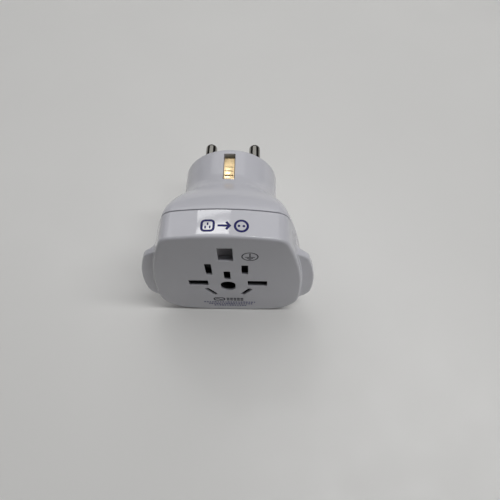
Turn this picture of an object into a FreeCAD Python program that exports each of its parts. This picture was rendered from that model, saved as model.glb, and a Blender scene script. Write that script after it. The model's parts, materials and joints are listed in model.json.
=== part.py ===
import FreeCAD, Part
import math
import os
import re

import Sketcher
from FreeCAD import Placement, Rotation, Vector

# A travel adapter: a socket face for several kinds of plug in front, a round two-pin plug behind.
# The origin is the centre of the plug's end face, between the pins. +Y runs along the pins, +X is to
# the right seen from the socket face, +Z is up. Depths count from the socket face towards the pins.
# All lengths are in millimetres.

SIZES = {
    # the face outline: egg shaped, four long arcs with rounded corners
    "face_half_width": 28.0,
    "face_widest_z": -14.0,
    "face_top": 29.65,
    "face_bottom": -30.65,
    "side_arc": 105.0,
    "top_arc": 88.0,
    "bottom_arc": 180.0,
    "top_corner": 5.5,
    "bottom_corner": 13.0,
    "face_edge_round": 1.0,
    # the two finger grips beside the face
    "grip_half_width": 32.6,
    "grip_widest_z": -11.0,
    "grip_top": 17.0,
    "grip_bottom": -25.5,
    "grip_side_arc": 62.0,
    "grip_end_arc": 120.0,
    "grip_top_corner": 6.0,
    "grip_bottom_corner": 9.0,
    "grip_setback": 2.4,
    "grip_round": 0.6,
    "grip_thick": 2.2,
    "grip_root": 9.9,
    "grip_tuck": 0.6,
    # how far a cut runs past the face it starts from
    "overcut": 1.0,
    # the shells
    "wall": 1.8,
    "face_wall": 2.0,
    "band_depth": 10.3,
    "seam_gap": 0.3,
    "tongue": 1.75,
    "tongue_wall": 0.85,
    "tongue_play": 0.1,
    "barrel_length": 15.5,
    "barrel_radius": 18.5,
    "barrel_wall": 2.2,
    "barrel_edge_round": 0.8,
    "body_length": 45.8,
    "end_wall": 2.5,
    "groove_depth": 1.2,
    "groove_width": 5.2,
    "groove_length": 9.8,
    # the openings in the face
    "slot_play": 0.2,
    "tall_slot_z": 18.6,
    "tall_slot_width": 5.0,
    "tall_slot_height": 8.4,
    "blade_slot_x": 6.35,
    "blade_slot_z": 7.75,
    "blade_slot_width": 2.3,
    "left_blade_height": 8.2,
    "right_blade_height": 6.8,
    "small_slot_z": 3.1,
    "small_slot_width": 2.3,
    "small_slot_height": 6.4,
    "wide_slot_x": 10.95,
    "wide_slot_z": -3.4,
    "wide_slot_width": 7.2,
    "wide_slot_height": 4.1,
    "round_slot_z": -6.05,
    "round_slot_width": 5.5,
    "round_slot_height": 7.9,
    "slant_slot_x": 6.86,
    "slant_slot_z": -11.3,
    "slant_slot_width": 1.8,
    "slant_slot_length": 7.0,
    "slant_angle": 30.0,
    # the shutter, its frame and its spring
    "shutter_start": 2.3,
    "shutter_thick": 1.8,
    "shutter_half_width": 16.0,
    "shutter_top": 20.4,
    "shutter_bottom": -17.0,
    "travel": 6.0,
    "ramp_half_width": 2.6,
    "ramp_foot": 14.0,
    "ramp_rise": 6.1,
    "ramp_thick": 3.0,
    "frame_start": 4.4,
    "frame_end": 6.0,
    "frame_rail": 2.2,
    "frame_play": 0.3,
    "frame_top": 25.0,
    "frame_bottom": -27.6,
    "frame_foot_half": 8.0,
    "frame_ledge": 1.2,
    "spring_depth": 4.1,
    "spring_radius": 1.45,
    "spring_wire": 0.4,
    "spring_turns": 6,
    "spring_top": -13.6,
    "spring_seat_half": 3.0,
    "spring_seat_thick": 1.6,
    # the contact carrier and its cover
    "carrier_start": 6.0,
    "carrier_end": 18.0,
    "carrier_half_width": 16.4,
    "carrier_shoulder": 14.0,
    "carrier_tower_half": 6.0,
    "carrier_top": 25.1,
    "carrier_bottom": -17.2,
    "pocket_margin": 0.8,
    "ramp_pocket_end": 8.9,
    "strip": 0.8,
    "leaf": 0.6,
    "leaf_start": 9.2,
    "blade_gap": 1.4,
    "square_pin_gap": 4.0,
    "round_pin_gap": 4.6,
    "slant_gap": 1.6,
    "blade_leaf_half": 3.1,
    "wide_leaf_half": 3.1,
    "slant_leaf_half": 3.0,
    "tall_leaf_half": 3.6,
    "small_leaf_half": 2.8,
    "round_leaf_half": 2.6,
    "bus_inner_x": 4.6,
    "bus_outer_x": 8.6,
    "cover_thick": 1.6,
    "cover_wall": 0.9,
    "cover_wall_x": 4.8,
    "cover_wall_half": 10.5,
    "carrier_screw_x": 13.6,
    "carrier_screw_z": 9.2,
    "rib_x": 14.0,
    "rib_thick": 1.4,
    "rib_setback": 2.3,
    # the pins and their holder
    "pin_spacing": 19.0,
    "pin_radius": 2.4,
    "pin_length": 19.0,
    "pin_tip_round": 1.5,
    "pin_shoulder": 0.3,
    "pin_hole_play": 0.05,
    "collar_radius": 3.5,
    "collar_thick": 2.0,
    "holder_thick": 3.0,
    "holder_play": 1.5,
    "holder_half_height": 5.4,
    "holder_screw_x": 2.6,
    "post_radius": 2.3,
    "link_leg_x": 12.0,
    "link_leg_low": -5.0,
    "link_foot_height": 4.0,
    "link_half_height": 2.5,
    # the earth clips and the strip that joins them
    "clip_half_width": 1.95,
    "clip_sink": 0.6,
    "clip_length": 12.4,
    "clip_inset": 2.4,
    "clip_play": 0.2,
    "clip_ledge": 1.25,
    "clip_foot_reach": 2.6,
    "clip_hook": 1.3,
    "clip_ridge": 0.35,
    "clip_ridge_step": 1.5,
    "clip_rivet_z": 12.6,
    "earth_half_width": 3.2,
    "earth_link_z": 9.4,
    # screws and rivets
    "case_screw_x": 17.5,
    "case_screw_z": -21.0,
    "case_screw_radius": 1.5,
    "case_screw_head": 2.7,
    "case_screw_head_height": 2.0,
    "case_screw_seat": 15.5,
    "case_screw_tip": 4.5,
    "boss_radius": 3.2,
    "post_radius_behind": 3.8,
    "boss_end": 11.4,
    "small_screw_radius": 1.0,
    "small_screw_head": 1.9,
    "small_screw_head_height": 1.2,
    "screw_play": 0.05,
    "case_screw_play": 0.3,
    "rivet_radius": 0.9,
    "rivet_head": 1.5,
    "rivet_head_height": 0.5,
}

doc = FreeCAD.newDocument("travel_adapter")
sheet = doc.addObject("Spreadsheet::Sheet", "Sizes")
for row, (alias, value) in enumerate(SIZES.items(), 1):
    sheet.set(f"A{row}", alias.replace("_", " "))
    sheet.set(f"B{row}", str(value))
    sheet.setAlias(f"B{row}", alias)
doc.recompute()


def link(text):
    """The expression with each size read from the sheet."""

    def named(match):
        word = match.group()
        return "Sizes." + word if word in SIZES else word

    return re.sub(r"[a-z_]+", named, str(text))


class Sheet:
    """Reads one size of the sheet by its name."""

    def __getattr__(self, alias):
        return float(sheet.get(alias))


at = Sheet()


def value(text):
    """A sum of sizes as a number."""
    return float(sheet.evalExpression(link(text)))


# Places that follow from the sizes

BELL_END = "(body_length - barrel_length)"
RIB_END = f"({BELL_END} - rib_setback)"
CLIP_END = "(body_length - clip_inset)"
CLIP_START = "(body_length - clip_inset - clip_length)"
CLIP_TOP = "(barrel_radius - clip_sink)"
CLIP_FOOT = "(clip_rivet_z - clip_foot_reach)"
COLLAR_END = "(body_length - end_wall)"
HOLDER_END = f"({COLLAR_END} - collar_thick)"
HOLDER_START = f"({HOLDER_END} - holder_thick)"
COVER_START = "(carrier_end + strip)"
COVER_END = f"({COVER_START} + cover_thick)"
SHANK = "(pin_radius + pin_shoulder)"
RAMP_CLEAR = "(ramp_half_width + frame_play)"
RAMP_LOW = "(ramp_foot - ramp_thick - travel - frame_play)"
RAMP_HIGH = "(ramp_foot + ramp_rise + frame_play)"
SPRING_LOW = "(frame_bottom + frame_ledge)"
LEG_END = "(link_leg_x + strip)"
FOOT_START = "(link_leg_x - 4 * strip)"
FOOT_HIGH = "(link_leg_low + link_foot_height)"
LEAF_END = "(carrier_end + strip / 2)"
RIVET_X = f"({FOOT_START} + 2 * strip)"
RIVET_Z = "(link_leg_low + link_foot_height / 2)"
EARTH_RIVET_Z = "((earth_link_z + strip + carrier_shoulder) / 2)"
LINK_PLATE = f"({CLIP_START} - strip)"

# Solids made of primitives, with every size and place bound to the sheet


def side_names(side):
    return "right" if side > 0 else "left"


def span(side, near, far):
    """The two ends of a stretch on one side of the middle, the lower one first."""
    return (near, far) if side > 0 else (f"-({far})", f"-({near})")


def bind(obj, **links):
    for name, text in links.items():
        obj.setExpression(name.replace("__", "."), link(text))
    return obj


def box(name, x0, x1, d0, d1, z0, z1):
    """A block between two x, two depths and two z, each a sum of sizes."""
    obj = doc.addObject("Part::Box", name)
    return bind(
        obj,
        Length=f"({x1}) - ({x0})",
        Width=f"({d1}) - ({d0})",
        Height=f"({z1}) - ({z0})",
        Placement__Base__x=x0,
        Placement__Base__y=f"({d0}) - body_length",
        Placement__Base__z=z0,
    )


def rod(name, x, z, d0, d1, radius):
    """A round rod along the depth."""
    obj = doc.addObject("Part::Cylinder", name)
    obj.Placement = Placement(Vector(), Rotation(Vector(1, 0, 0), -90))
    return bind(
        obj,
        Radius=radius,
        Height=f"({d1}) - ({d0})",
        Placement__Base__x=x,
        Placement__Base__y=f"({d0}) - body_length",
        Placement__Base__z=z,
    )


def fuse(name, *pieces):
    obj = doc.addObject("Part::MultiFuse", name)
    obj.Shapes = list(pieces)
    return obj


def cut(name, base, *tools):
    obj = doc.addObject("Part::Cut", name)
    obj.Base = base
    obj.Tool = tools[0] if len(tools) == 1 else fuse(name + "_tools", *tools)
    return obj


def common(name, first, second):
    obj = doc.addObject("Part::MultiCommon", name)
    obj.Shapes = [first, second]
    return obj


def solid(name, shape):
    """A shape made from the sheet's values in code, kept as an object of the document."""
    obj = doc.addObject("Part::Feature", name)
    obj.Shape = shape
    return obj


# Outlines: an egg shape of four long arcs joined by four corner arcs


def depth_y(depth):
    return depth - at.body_length


def corner_centre(c1, r1, c2, r2, near):
    """The centre of a circle that touches two larger ones from inside, their radii already reduced."""
    span = math.hypot(c2[0] - c1[0], c2[1] - c1[1])
    along = (r1 * r1 - r2 * r2 + span * span) / (2 * span)
    aside = math.sqrt(max(r1 * r1 - along * along, 0.0))
    ux, uz = (c2[0] - c1[0]) / span, (c2[1] - c1[1]) / span
    foot = (c1[0] + along * ux, c1[1] + along * uz)
    both = [(foot[0] + s * aside * uz, foot[1] - s * aside * ux) for s in (1, -1)]
    return min(both, key=lambda c: math.hypot(c[0] - near[0], c[1] - near[1]))


def egg_arcs(half_width, widest_z, top, bottom, side, top_arc, bottom_arc, top_corner, bottom_corner):
    """The right half of the outline as arcs: centre, radius, first and last angle, from the top down."""
    side_c = (half_width - side, widest_z)
    top_c = (0.0, top - top_arc)
    bottom_c = (0.0, bottom + bottom_arc)
    up = corner_centre(side_c, side - top_corner, top_c, top_arc - top_corner, (half_width, top))
    low = corner_centre(
        side_c, side - bottom_corner, bottom_c, bottom_arc - bottom_corner, (half_width, bottom)
    )

    def angle(centre, point):
        return math.atan2(point[1] - centre[1], point[0] - centre[0])

    a_top, a_up = angle(top_c, up), angle(side_c, up)
    a_low, a_bottom = angle(side_c, low), angle(bottom_c, low)
    return [
        (top_c, top_arc, math.pi / 2, a_top),
        (up, top_corner, a_top, a_up),
        (side_c, side, a_up, a_low),
        (low, bottom_corner, a_low, a_bottom),
        (bottom_c, bottom_arc, a_bottom, -math.pi / 2),
    ]


def arc_point(arc, share):
    (cx, cz), radius, first, last = arc
    turn = first + (last - first) * share
    return cx + radius * math.cos(turn), cz + radius * math.sin(turn)


def face_arcs(inset=0.0):
    return egg_arcs(
        at.face_half_width - inset, at.face_widest_z, at.face_top - inset, at.face_bottom + inset,
        at.side_arc - inset, at.top_arc - inset, at.bottom_arc - inset,
        at.top_corner - inset, at.bottom_corner - inset,
    )


def grip_arcs(inset, narrow):
    return egg_arcs(
        at.grip_half_width - narrow - inset, at.grip_widest_z, at.grip_top - inset, at.grip_bottom + inset,
        at.grip_side_arc, at.grip_end_arc, at.grip_end_arc,
        at.grip_top_corner - inset, at.grip_bottom_corner - inset,
    )


def arc_wire(arcs, depth):
    """The closed outline at a depth, made of true arcs."""
    y = depth_y(depth)
    edges = []
    for arc in arcs:
        points = [arc_point(arc, share) for share in (0.0, 0.5, 1.0)]
        for side in (1, -1):
            edges.append(Part.Arc(*[Vector(side * x, y, z) for x, z in points]).toShape())
    return Part.Wire(Part.__sortEdges__(edges))


def prism(arcs, d0, d1):
    return Part.Face(arc_wire(arcs, d0)).extrude(Vector(0, d1 - d0, 0))


# How many points of each arc of the right half carry the smooth sections of the bell and the grips
ARC_POINTS = (5, 4, 8, 5, 4)


def outline_points(arcs):
    """Points around the outline, anticlockwise from the top centre seen from the front."""
    half = []
    for arc, count in zip(arcs, ARC_POINTS):
        half += [arc_point(arc, i / count) for i in range(count)]
    half.append(arc_point(arcs[-1], 1.0))
    return half + [(-x, z) for x, z in reversed(half[1:-1])]


def smooth_wire(points, depth):
    """A closed smooth curve through the points, which starts below."""
    first = sum(ARC_POINTS[:4])
    points = points[first:] + points[:first]
    curve = Part.BSplineCurve()
    curve.interpolate(Points=[Vector(x, depth_y(depth), z) for x, z in points], PeriodicFlag=True)
    return Part.Wire([curve.toShape()])


def bell_section(inset, share, radius):
    """The face outline drawn in towards the barrel's circle, by a share of the way."""
    moved = []
    for x, z in outline_points(face_arcs(inset)):
        reach = math.hypot(x, z)
        scale = (reach * (1 - share) + radius * share) / reach
        moved.append((x * scale, z * scale))
    return moved


BELL_STEPS = 9
BELL_SHOULDER = 1.7
BELL_WAIST = 1.2
BELL_DIVE = 1.03


def bell_solid(inset, radius, start):
    """The bell from the seam to the barrel: a full shoulder that draws in to a waist."""
    wires = []
    for i in range(BELL_STEPS + 1):
        along = i / BELL_STEPS
        share = (1 - (1 - along**BELL_SHOULDER) ** BELL_WAIST) * BELL_DIVE
        depth = start + (value(BELL_END) - start) * along
        wires.append(smooth_wire(bell_section(inset, share, radius), depth))
    return Part.makeLoft(wires, True, False)


GRIP_STEPS = 4
GRIP_ROUND_STEPS = 2


def grip_solid():
    """Both finger grips in one: a flange that runs back into the band in a hollow curve."""
    full_end = at.grip_setback + at.grip_thick
    reach = at.grip_half_width - at.face_half_width + at.grip_tuck
    wires = []
    for i in range(GRIP_ROUND_STEPS + 1):
        turn = math.pi / 2 * i / GRIP_ROUND_STEPS
        inset = at.grip_round * (1 - math.sin(turn))
        sink = at.grip_round * (1 - math.cos(turn))
        wires.append(smooth_wire(outline_points(grip_arcs(inset, 0.0)), at.grip_setback + sink))
    for i in range(GRIP_STEPS + 1):
        along = i / GRIP_STEPS
        depth = full_end + (at.grip_root - full_end) * along
        narrow = reach * (1 - (1 - along) ** 2)
        wires.append(smooth_wire(outline_points(grip_arcs(0.0, narrow)), depth))
    rounded = GRIP_ROUND_STEPS + 1
    flange = Part.makeLoft(wires[: rounded + 1], True, True)
    flare = Part.makeLoft(wires[rounded:], True, False)
    return flange.fuse(flare)


# The openings, as centre, width and height in the face: name, x, z, width, height, turn
def openings():
    """The eight pin openings, each with its place and size as sums of sizes."""
    rows = [("tall_slot", "0", "tall_slot_z", "tall_slot_width", "tall_slot_height")]
    rows.append(("small_slot", "0", "small_slot_z", "small_slot_width", "small_slot_height"))
    for side, sign in (("left", "-"), ("right", "")):
        rows.append((f"{side}_blade_slot", f"{sign}blade_slot_x", "blade_slot_z", "blade_slot_width",
                     f"{side}_blade_height"))
        rows.append((f"{side}_wide_slot", f"{sign}wide_slot_x", "wide_slot_z", "wide_slot_width",
                     "wide_slot_height"))
    return rows


def slot_tools(prefix, grow, d0, d1):
    """Cutters through a plate behind or in the face, one for each opening, each grown all round."""
    tools = []
    for name, x, z, width, height in openings():
        half_width = f"{width} / 2 + ({grow})"
        half_height = f"{height} / 2 + ({grow})"
        tools.append(box(f"{prefix}_{name}", f"{x} - ({half_width})", f"{x} + {half_width}", d0, d1,
                         f"{z} - ({half_height})", f"{z} + {half_height}"))
    tools.append(round_tool(prefix, grow, d0, d1))
    tools += [slant_tool(prefix, side, grow, d0, d1) for side in (-1, 1)]
    return tools


def round_tool(prefix, grow, d0, d1):
    """The oblong hole under the centre: two rods and a block between them."""
    radius = f"round_slot_width / 2 + ({grow})"
    rise = "(round_slot_height - round_slot_width) / 2"
    ends = [rod(f"{prefix}_round_{i}", "0", f"round_slot_z {sign} {rise}", d0, d1, radius)
            for i, sign in enumerate("+-")]
    middle = box(f"{prefix}_round_middle", f"-({radius})", radius, d0, d1,
                 f"round_slot_z - {rise}", f"round_slot_z + {rise}")
    return fuse(f"{prefix}_round_slot", *ends, middle)


def slanted(name, side, along0, along1, across0, across1, d0, d1):
    """A block turned with the slanted slots: along its length, then across it, from its centre."""
    obj = doc.addObject("Part::Box", name)
    bind(obj, Length=f"({across1}) - ({across0})", Width=f"({d1}) - ({d0})", Height=f"({along1}) - ({along0})")
    obj.Placement = Placement(Vector(), Rotation(Vector(0, 1, 0), side * at.slant_angle))
    # turning about Y by t takes (across, along) to (across cos t + along sin t, along cos t - across sin t)
    t = f"{side} * slant_angle"
    return bind(
        obj,
        Placement__Base__x=f"{side} * slant_slot_x + ({across0}) * cos({t}) + ({along0}) * sin({t})",
        Placement__Base__y=f"({d0}) - body_length",
        Placement__Base__z=f"slant_slot_z + ({along0}) * cos({t}) - ({across0}) * sin({t})",
        Placement__Rotation__Angle=t,
    )


def slant_tool(prefix, side, grow, d0, d1):
    half_length = f"(slant_slot_length / 2 + ({grow}))"
    half_width = f"(slant_slot_width / 2 + ({grow}))"
    return slanted(f"{prefix}_slant_slot_{side_names(side)}", side, f"-{half_length}", half_length,
                   f"-{half_width}", half_width, d0, d1)


def side_box(name, side, x0, x1, d0, d1, z0, z1):
    """A block on the right, or its mirror image on the left."""
    return box(name, *span(side, x0, x1), d0, d1, z0, z1)


# Bodies made from sketches


def plane(body, role):
    return next(feature for feature in body.Origin.OriginFeatures if feature.Role == role)


def sketch(body, name, role, offset="0"):
    obj = body.newObject("Sketcher::SketchObject", name)
    obj.AttachmentSupport = [(plane(body, role), "")]
    obj.MapMode = "FlatFace"
    obj.setExpression("AttachmentOffset.Base.z", link(offset))
    return obj


def hold(obj, geometry, place, x, y):
    """Holds one point of a sketch at two distances from the sketch's origin."""
    for kind, text, axis in (("DistanceX", x, -2), ("DistanceY", y, -1)):
        if text == "0":
            obj.addConstraint(Sketcher.Constraint("PointOnObject", geometry, place, axis))
            continue
        index = obj.addConstraint(Sketcher.Constraint(kind, -1, 1, geometry, place, value(text)))
        obj.setExpression(f"Constraints[{index}]", link(text))


def polygon(obj, points):
    """A closed outline through points, each held by its own sums of sizes."""
    spots = [Vector(value(x), value(y), 0) for x, y in points]
    first = obj.GeometryCount
    count = len(points)
    for i in range(count):
        obj.addGeometry(Part.LineSegment(spots[i], spots[(i + 1) % count]), False)
    for i in range(count):
        obj.addConstraint(Sketcher.Constraint("Coincident", first + i, 2, first + (i + 1) % count, 1))
    for i, (x, y) in enumerate(points):
        hold(obj, first + i, 1, x, y)


def circle(obj, x, y, radius):
    index = obj.addGeometry(Part.Circle(Vector(value(x), value(y), 0), Vector(0, 0, 1), value(radius)), False)
    hold(obj, index, 3, x, y)
    size = obj.addConstraint(Sketcher.Constraint("Radius", index, value(radius)))
    obj.setExpression(f"Constraints[{size}]", link(radius))


def block(x0, x1, z0, z1):
    return [(x0, z0), (x1, z0), (x1, z1), (x0, z1)]


def slanted_block(side, grow, shift):
    """The four corners of a slanted opening, grown all round and moved up."""
    t = f"{side} * slant_angle"
    half_along = f"(slant_slot_length / 2 + {grow})"
    half_across = f"(slant_slot_width / 2 + {grow})"
    corners = []
    for a, b in (("-", "-"), ("", "-"), ("", ""), ("-", "")):
        across, along = f"{a}{half_across}", f"{b}{half_along}"
        corners.append((f"{side} * slant_slot_x + {across} * cos({t}) + {along} * sin({t})",
                        f"slant_slot_z + {shift} + {along} * cos({t}) - {across} * sin({t})"))
    return corners


def draw(body, name, depth, loops):
    obj = sketch(body, name + "_sketch", "XZ_Plane", f"body_length - ({depth})")
    for loop in loops:
        if isinstance(loop[0], tuple):
            polygon(obj, loop)
        else:
            circle(obj, *loop)
    return obj


def pad(body, name, d0, d1, *loops):
    """Adds the loops between two depths. The sketch lies at the rear and the pad grows to the front."""
    obj = body.newObject("PartDesign::Pad", name)
    obj.Profile = draw(body, name, d1, loops)
    obj.Type = "Length"
    obj.setExpression("Length", link(f"({d1}) - ({d0})"))
    return obj


def pocket(body, name, d0, d1, *loops):
    """Takes the loops away between two depths. The sketch lies at the front and the cut runs to the rear."""
    obj = body.newObject("PartDesign::Pocket", name)
    obj.Profile = draw(body, name, d0, loops)
    obj.Type = "Length"
    obj.setExpression("Length", link(f"({d1}) - ({d0})"))
    return obj


def turned(name, x, z, points):
    """A turned piece: a half section of radius and depth, spun about its own line along the depth."""
    body = doc.addObject("PartDesign::Body", name)
    obj = sketch(body, name + "_section", "XY_Plane")
    polygon(obj, [(radius, f"{depth} - body_length") for radius, depth in points])
    spun = body.newObject("PartDesign::Revolution", name + "_turned")
    spun.Profile = obj
    spun.ReferenceAxis = (obj, ["V_Axis"])
    spun.Angle = 360
    return bind(body, Placement__Base__x=x, Placement__Base__z=z)


def mirrored(name, source):
    obj = doc.addObject("Part::Mirroring", name)
    obj.Source = source
    obj.Normal = Vector(1, 0, 0)
    return obj


def group(name, *pieces):
    obj = doc.addObject("Part::Compound", name)
    obj.Links = list(pieces)
    return obj


# The front housing


def front_block():
    """The band with its rounded face edge, the grips and the tongue round the rear edge."""
    end = at.band_depth - at.seam_gap / 2
    band = prism(face_arcs(), 0.0, end)
    front = [edge for edge in band.Edges if all(abs(v.Y - depth_y(0.0)) < 1e-6 for v in edge.Vertexes)]
    band = band.makeFillet(at.face_edge_round, front)
    tongue = prism(face_arcs(at.tongue_wall + at.tongue_play), end - at.wall, end + at.tongue)
    return band.fuse([grip_solid(), tongue])


def make_front_shell():
    hollow_end = at.band_depth + at.tongue + at.wall
    hollow = solid("front_hollow", prism(face_arcs(at.wall), at.face_wall, hollow_end))
    shell = cut("front_cup", solid("front_block", front_block()), hollow)
    bosses = [rod(f"front_boss_{side_names(s)}", f"{s} * case_screw_x", "case_screw_z", "face_wall / 2",
                  "boss_end", "boss_radius") for s in (-1, 1)]
    hole_start = "case_screw_tip - case_screw_radius / 2"
    holes = [rod(f"front_boss_hole_{side_names(s)}", f"{s} * case_screw_x", "case_screw_z", hole_start,
                 "boss_end + overcut", "case_screw_radius + screw_play") for s in (-1, 1)]
    slots = slot_tools("face", "0", "-face_wall", "2 * face_wall")
    return cut("front_shell", fuse("front_with_bosses", shell, *bosses), *holes, *slots)


# The rear housing


def make_rear_shell():
    start = at.band_depth + at.seam_gap / 2
    inner_radius = at.barrel_radius - at.barrel_wall
    bell = solid("bell_outside", bell_solid(0.0, at.barrel_radius, start))
    bell_hollow = solid("bell_inside", bell_solid(at.wall, inner_radius, start))
    barrel_start = f"{BELL_END} - 2 * wall"
    barrel = rod("barrel_outside", "0", "0", barrel_start, "body_length", "barrel_radius")
    barrel_hollow = rod("barrel_inside", "0", "0", barrel_start, COLLAR_END, "barrel_radius - barrel_wall")
    rounded = doc.addObject("Part::Fillet", "barrel_rounded")
    rounded.Base = barrel
    doc.recompute()
    rim = max(range(len(barrel.Shape.Edges)), key=lambda i: barrel.Shape.Edges[i].BoundBox.YMin)
    rounded.Edges = [(rim + 1, at.barrel_edge_round, at.barrel_edge_round)]
    outside = fuse("rear_outside", bell, rounded)
    rebate = solid("seam_rebate", prism(face_arcs(at.tongue_wall), start - at.seam_gap,
                                        start + at.tongue + at.tongue_play))
    shell = cut("rear_cup", outside, bell_hollow, barrel_hollow, rebate)
    added = []
    for s in (-1, 1):
        side = side_names(s)
        rib = side_box(f"rib_block_{side}", s, "rib_x", "rib_x + rib_thick", COVER_END, RIB_END, "-rib_x",
                       "rib_x / 2")
        post = rod(f"post_block_{side}", f"{s} * case_screw_x", "case_screw_z", "boss_end", RIB_END,
                   "post_radius_behind")
        added.append(common(f"rib_{side}", rib, outside))
        added.append(common(f"post_{side}", post, outside))
        added.append(rod(f"holder_post_{side}", f"{s} * holder_screw_x", "0", HOLDER_END,
                         "body_length - end_wall / 2", "post_radius"))
        half = "(clip_half_width + clip_ledge)"
        added.append(box(f"clip_ledge_{side}", f"-{half}", half, f"{CLIP_START} + strip + 2 * clip_play",
                         "body_length - end_wall / 2", *span(s, f"{CLIP_TOP} - 3 * strip", f"{CLIP_TOP} - strip")))
    whole = fuse("rear_with_posts", shell, *added)
    tools = []
    for s in (-1, 1):
        side = side_names(s)
        tools.append(rod(f"case_screw_hole_{side}", f"{s} * case_screw_x", "case_screw_z", "band_depth",
                         "case_screw_seat + overcut", "case_screw_radius + case_screw_play"))
        tools.append(rod(f"case_screw_well_{side}", f"{s} * case_screw_x", "case_screw_z", "case_screw_seat",
                         f"{BELL_END} + wall", "case_screw_head + case_screw_play"))
        tools.append(rod(f"pin_hole_{side}", f"{s} * pin_spacing / 2", "0", f"{COLLAR_END} - overcut",
                         "body_length + overcut", f"{SHANK} + pin_hole_play"))
        tools.append(rod(f"holder_post_hole_{side}", f"{s} * holder_screw_x", "0", f"{HOLDER_END} - overcut",
                         "body_length - end_wall / 3", "small_screw_radius + screw_play"))
        tools.append(side_box(f"side_groove_{side}", s, "barrel_radius - groove_depth", "barrel_radius + wall",
                              "body_length - groove_length", "body_length + overcut", "-groove_width / 2",
                              "groove_width / 2"))
        half = "clip_half_width + clip_play"
        front, rear = f"{CLIP_START} - clip_play", f"{CLIP_END} + clip_play"
        bed = f"{CLIP_TOP} - strip"
        spans = [("bed", front, rear, bed),
                 ("leg", front, f"{CLIP_START} + strip + clip_play", CLIP_FOOT),
                 ("hook", f"{CLIP_END} - strip - clip_play", rear, f"{bed} - clip_hook - clip_play")]
        for name, d0, d1, low in spans:
            tools.append(box(f"clip_{name}_{side}", f"-({half})", half, d0, d1,
                             *span(s, low, "barrel_radius + wall")))
    return cut("rear_shell", whole, *tools)


# The pins and their holder


def make_pin(name, side):
    bore = "small_screw_radius + screw_play"
    tip = "body_length + pin_length"
    pin = turned(name, f"{side} * pin_spacing / 2", "0", [
        (bore, HOLDER_START), (SHANK, HOLDER_START), (SHANK, HOLDER_END), ("collar_radius", HOLDER_END),
        ("collar_radius", COLLAR_END), (SHANK, COLLAR_END), (SHANK, "body_length"), ("pin_radius", "body_length"),
        ("pin_radius", tip), ("0", tip), ("0", COLLAR_END), (bore, COLLAR_END),
    ])
    doc.recompute()
    spun = pin.Tip
    edges = spun.Shape.Edges
    rims = [i for i, edge in enumerate(edges) if edge.BoundBox.XLength > at.pin_radius]
    last = max(rims, key=lambda i: edges[i].BoundBox.YMin)
    tip_round = pin.newObject("PartDesign::Fillet", name + "_tip")
    tip_round.Base = (spun, [f"Edge{last + 1}"])
    tip_round.setExpression("Radius", link("pin_tip_round"))
    return pin


def screw(name, x, z, head_start, head_end, tip, radius, head):
    """A screw with a flat head. Its head and its tip lie at the depths given."""
    return turned(name, x, z, [
        ("0", head_start), (head, head_start), (head, head_end), (radius, head_end), (radius, tip), ("0", tip),
    ])


def screw_pair(name, x, z, *sizes):
    first = screw(name + "_right", x, z, *sizes)
    return group(name, first, mirrored(name + "_left", first))


def make_pin_holder():
    half = "(barrel_radius - barrel_wall - holder_play)"
    plate = box("holder_block", f"-{half}", half, HOLDER_START, HOLDER_END, "-holder_half_height",
                "holder_half_height")
    tools = []
    for s in (-1, 1):
        side = side_names(s)
        tools.append(rod(f"holder_pin_hole_{side}", f"{s} * pin_spacing / 2", "0", f"{HOLDER_START} - overcut",
                         f"{HOLDER_END} + overcut", f"{SHANK} + pin_hole_play"))
        tools.append(rod(f"holder_screw_hole_{side}", f"{s} * holder_screw_x", "0",
                         f"{HOLDER_START} - overcut", f"{HOLDER_END} + overcut",
                         "small_screw_radius + screw_play"))
    return cut("pin_holder", plate, *tools)


# The shutter, its frame and its spring


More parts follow.
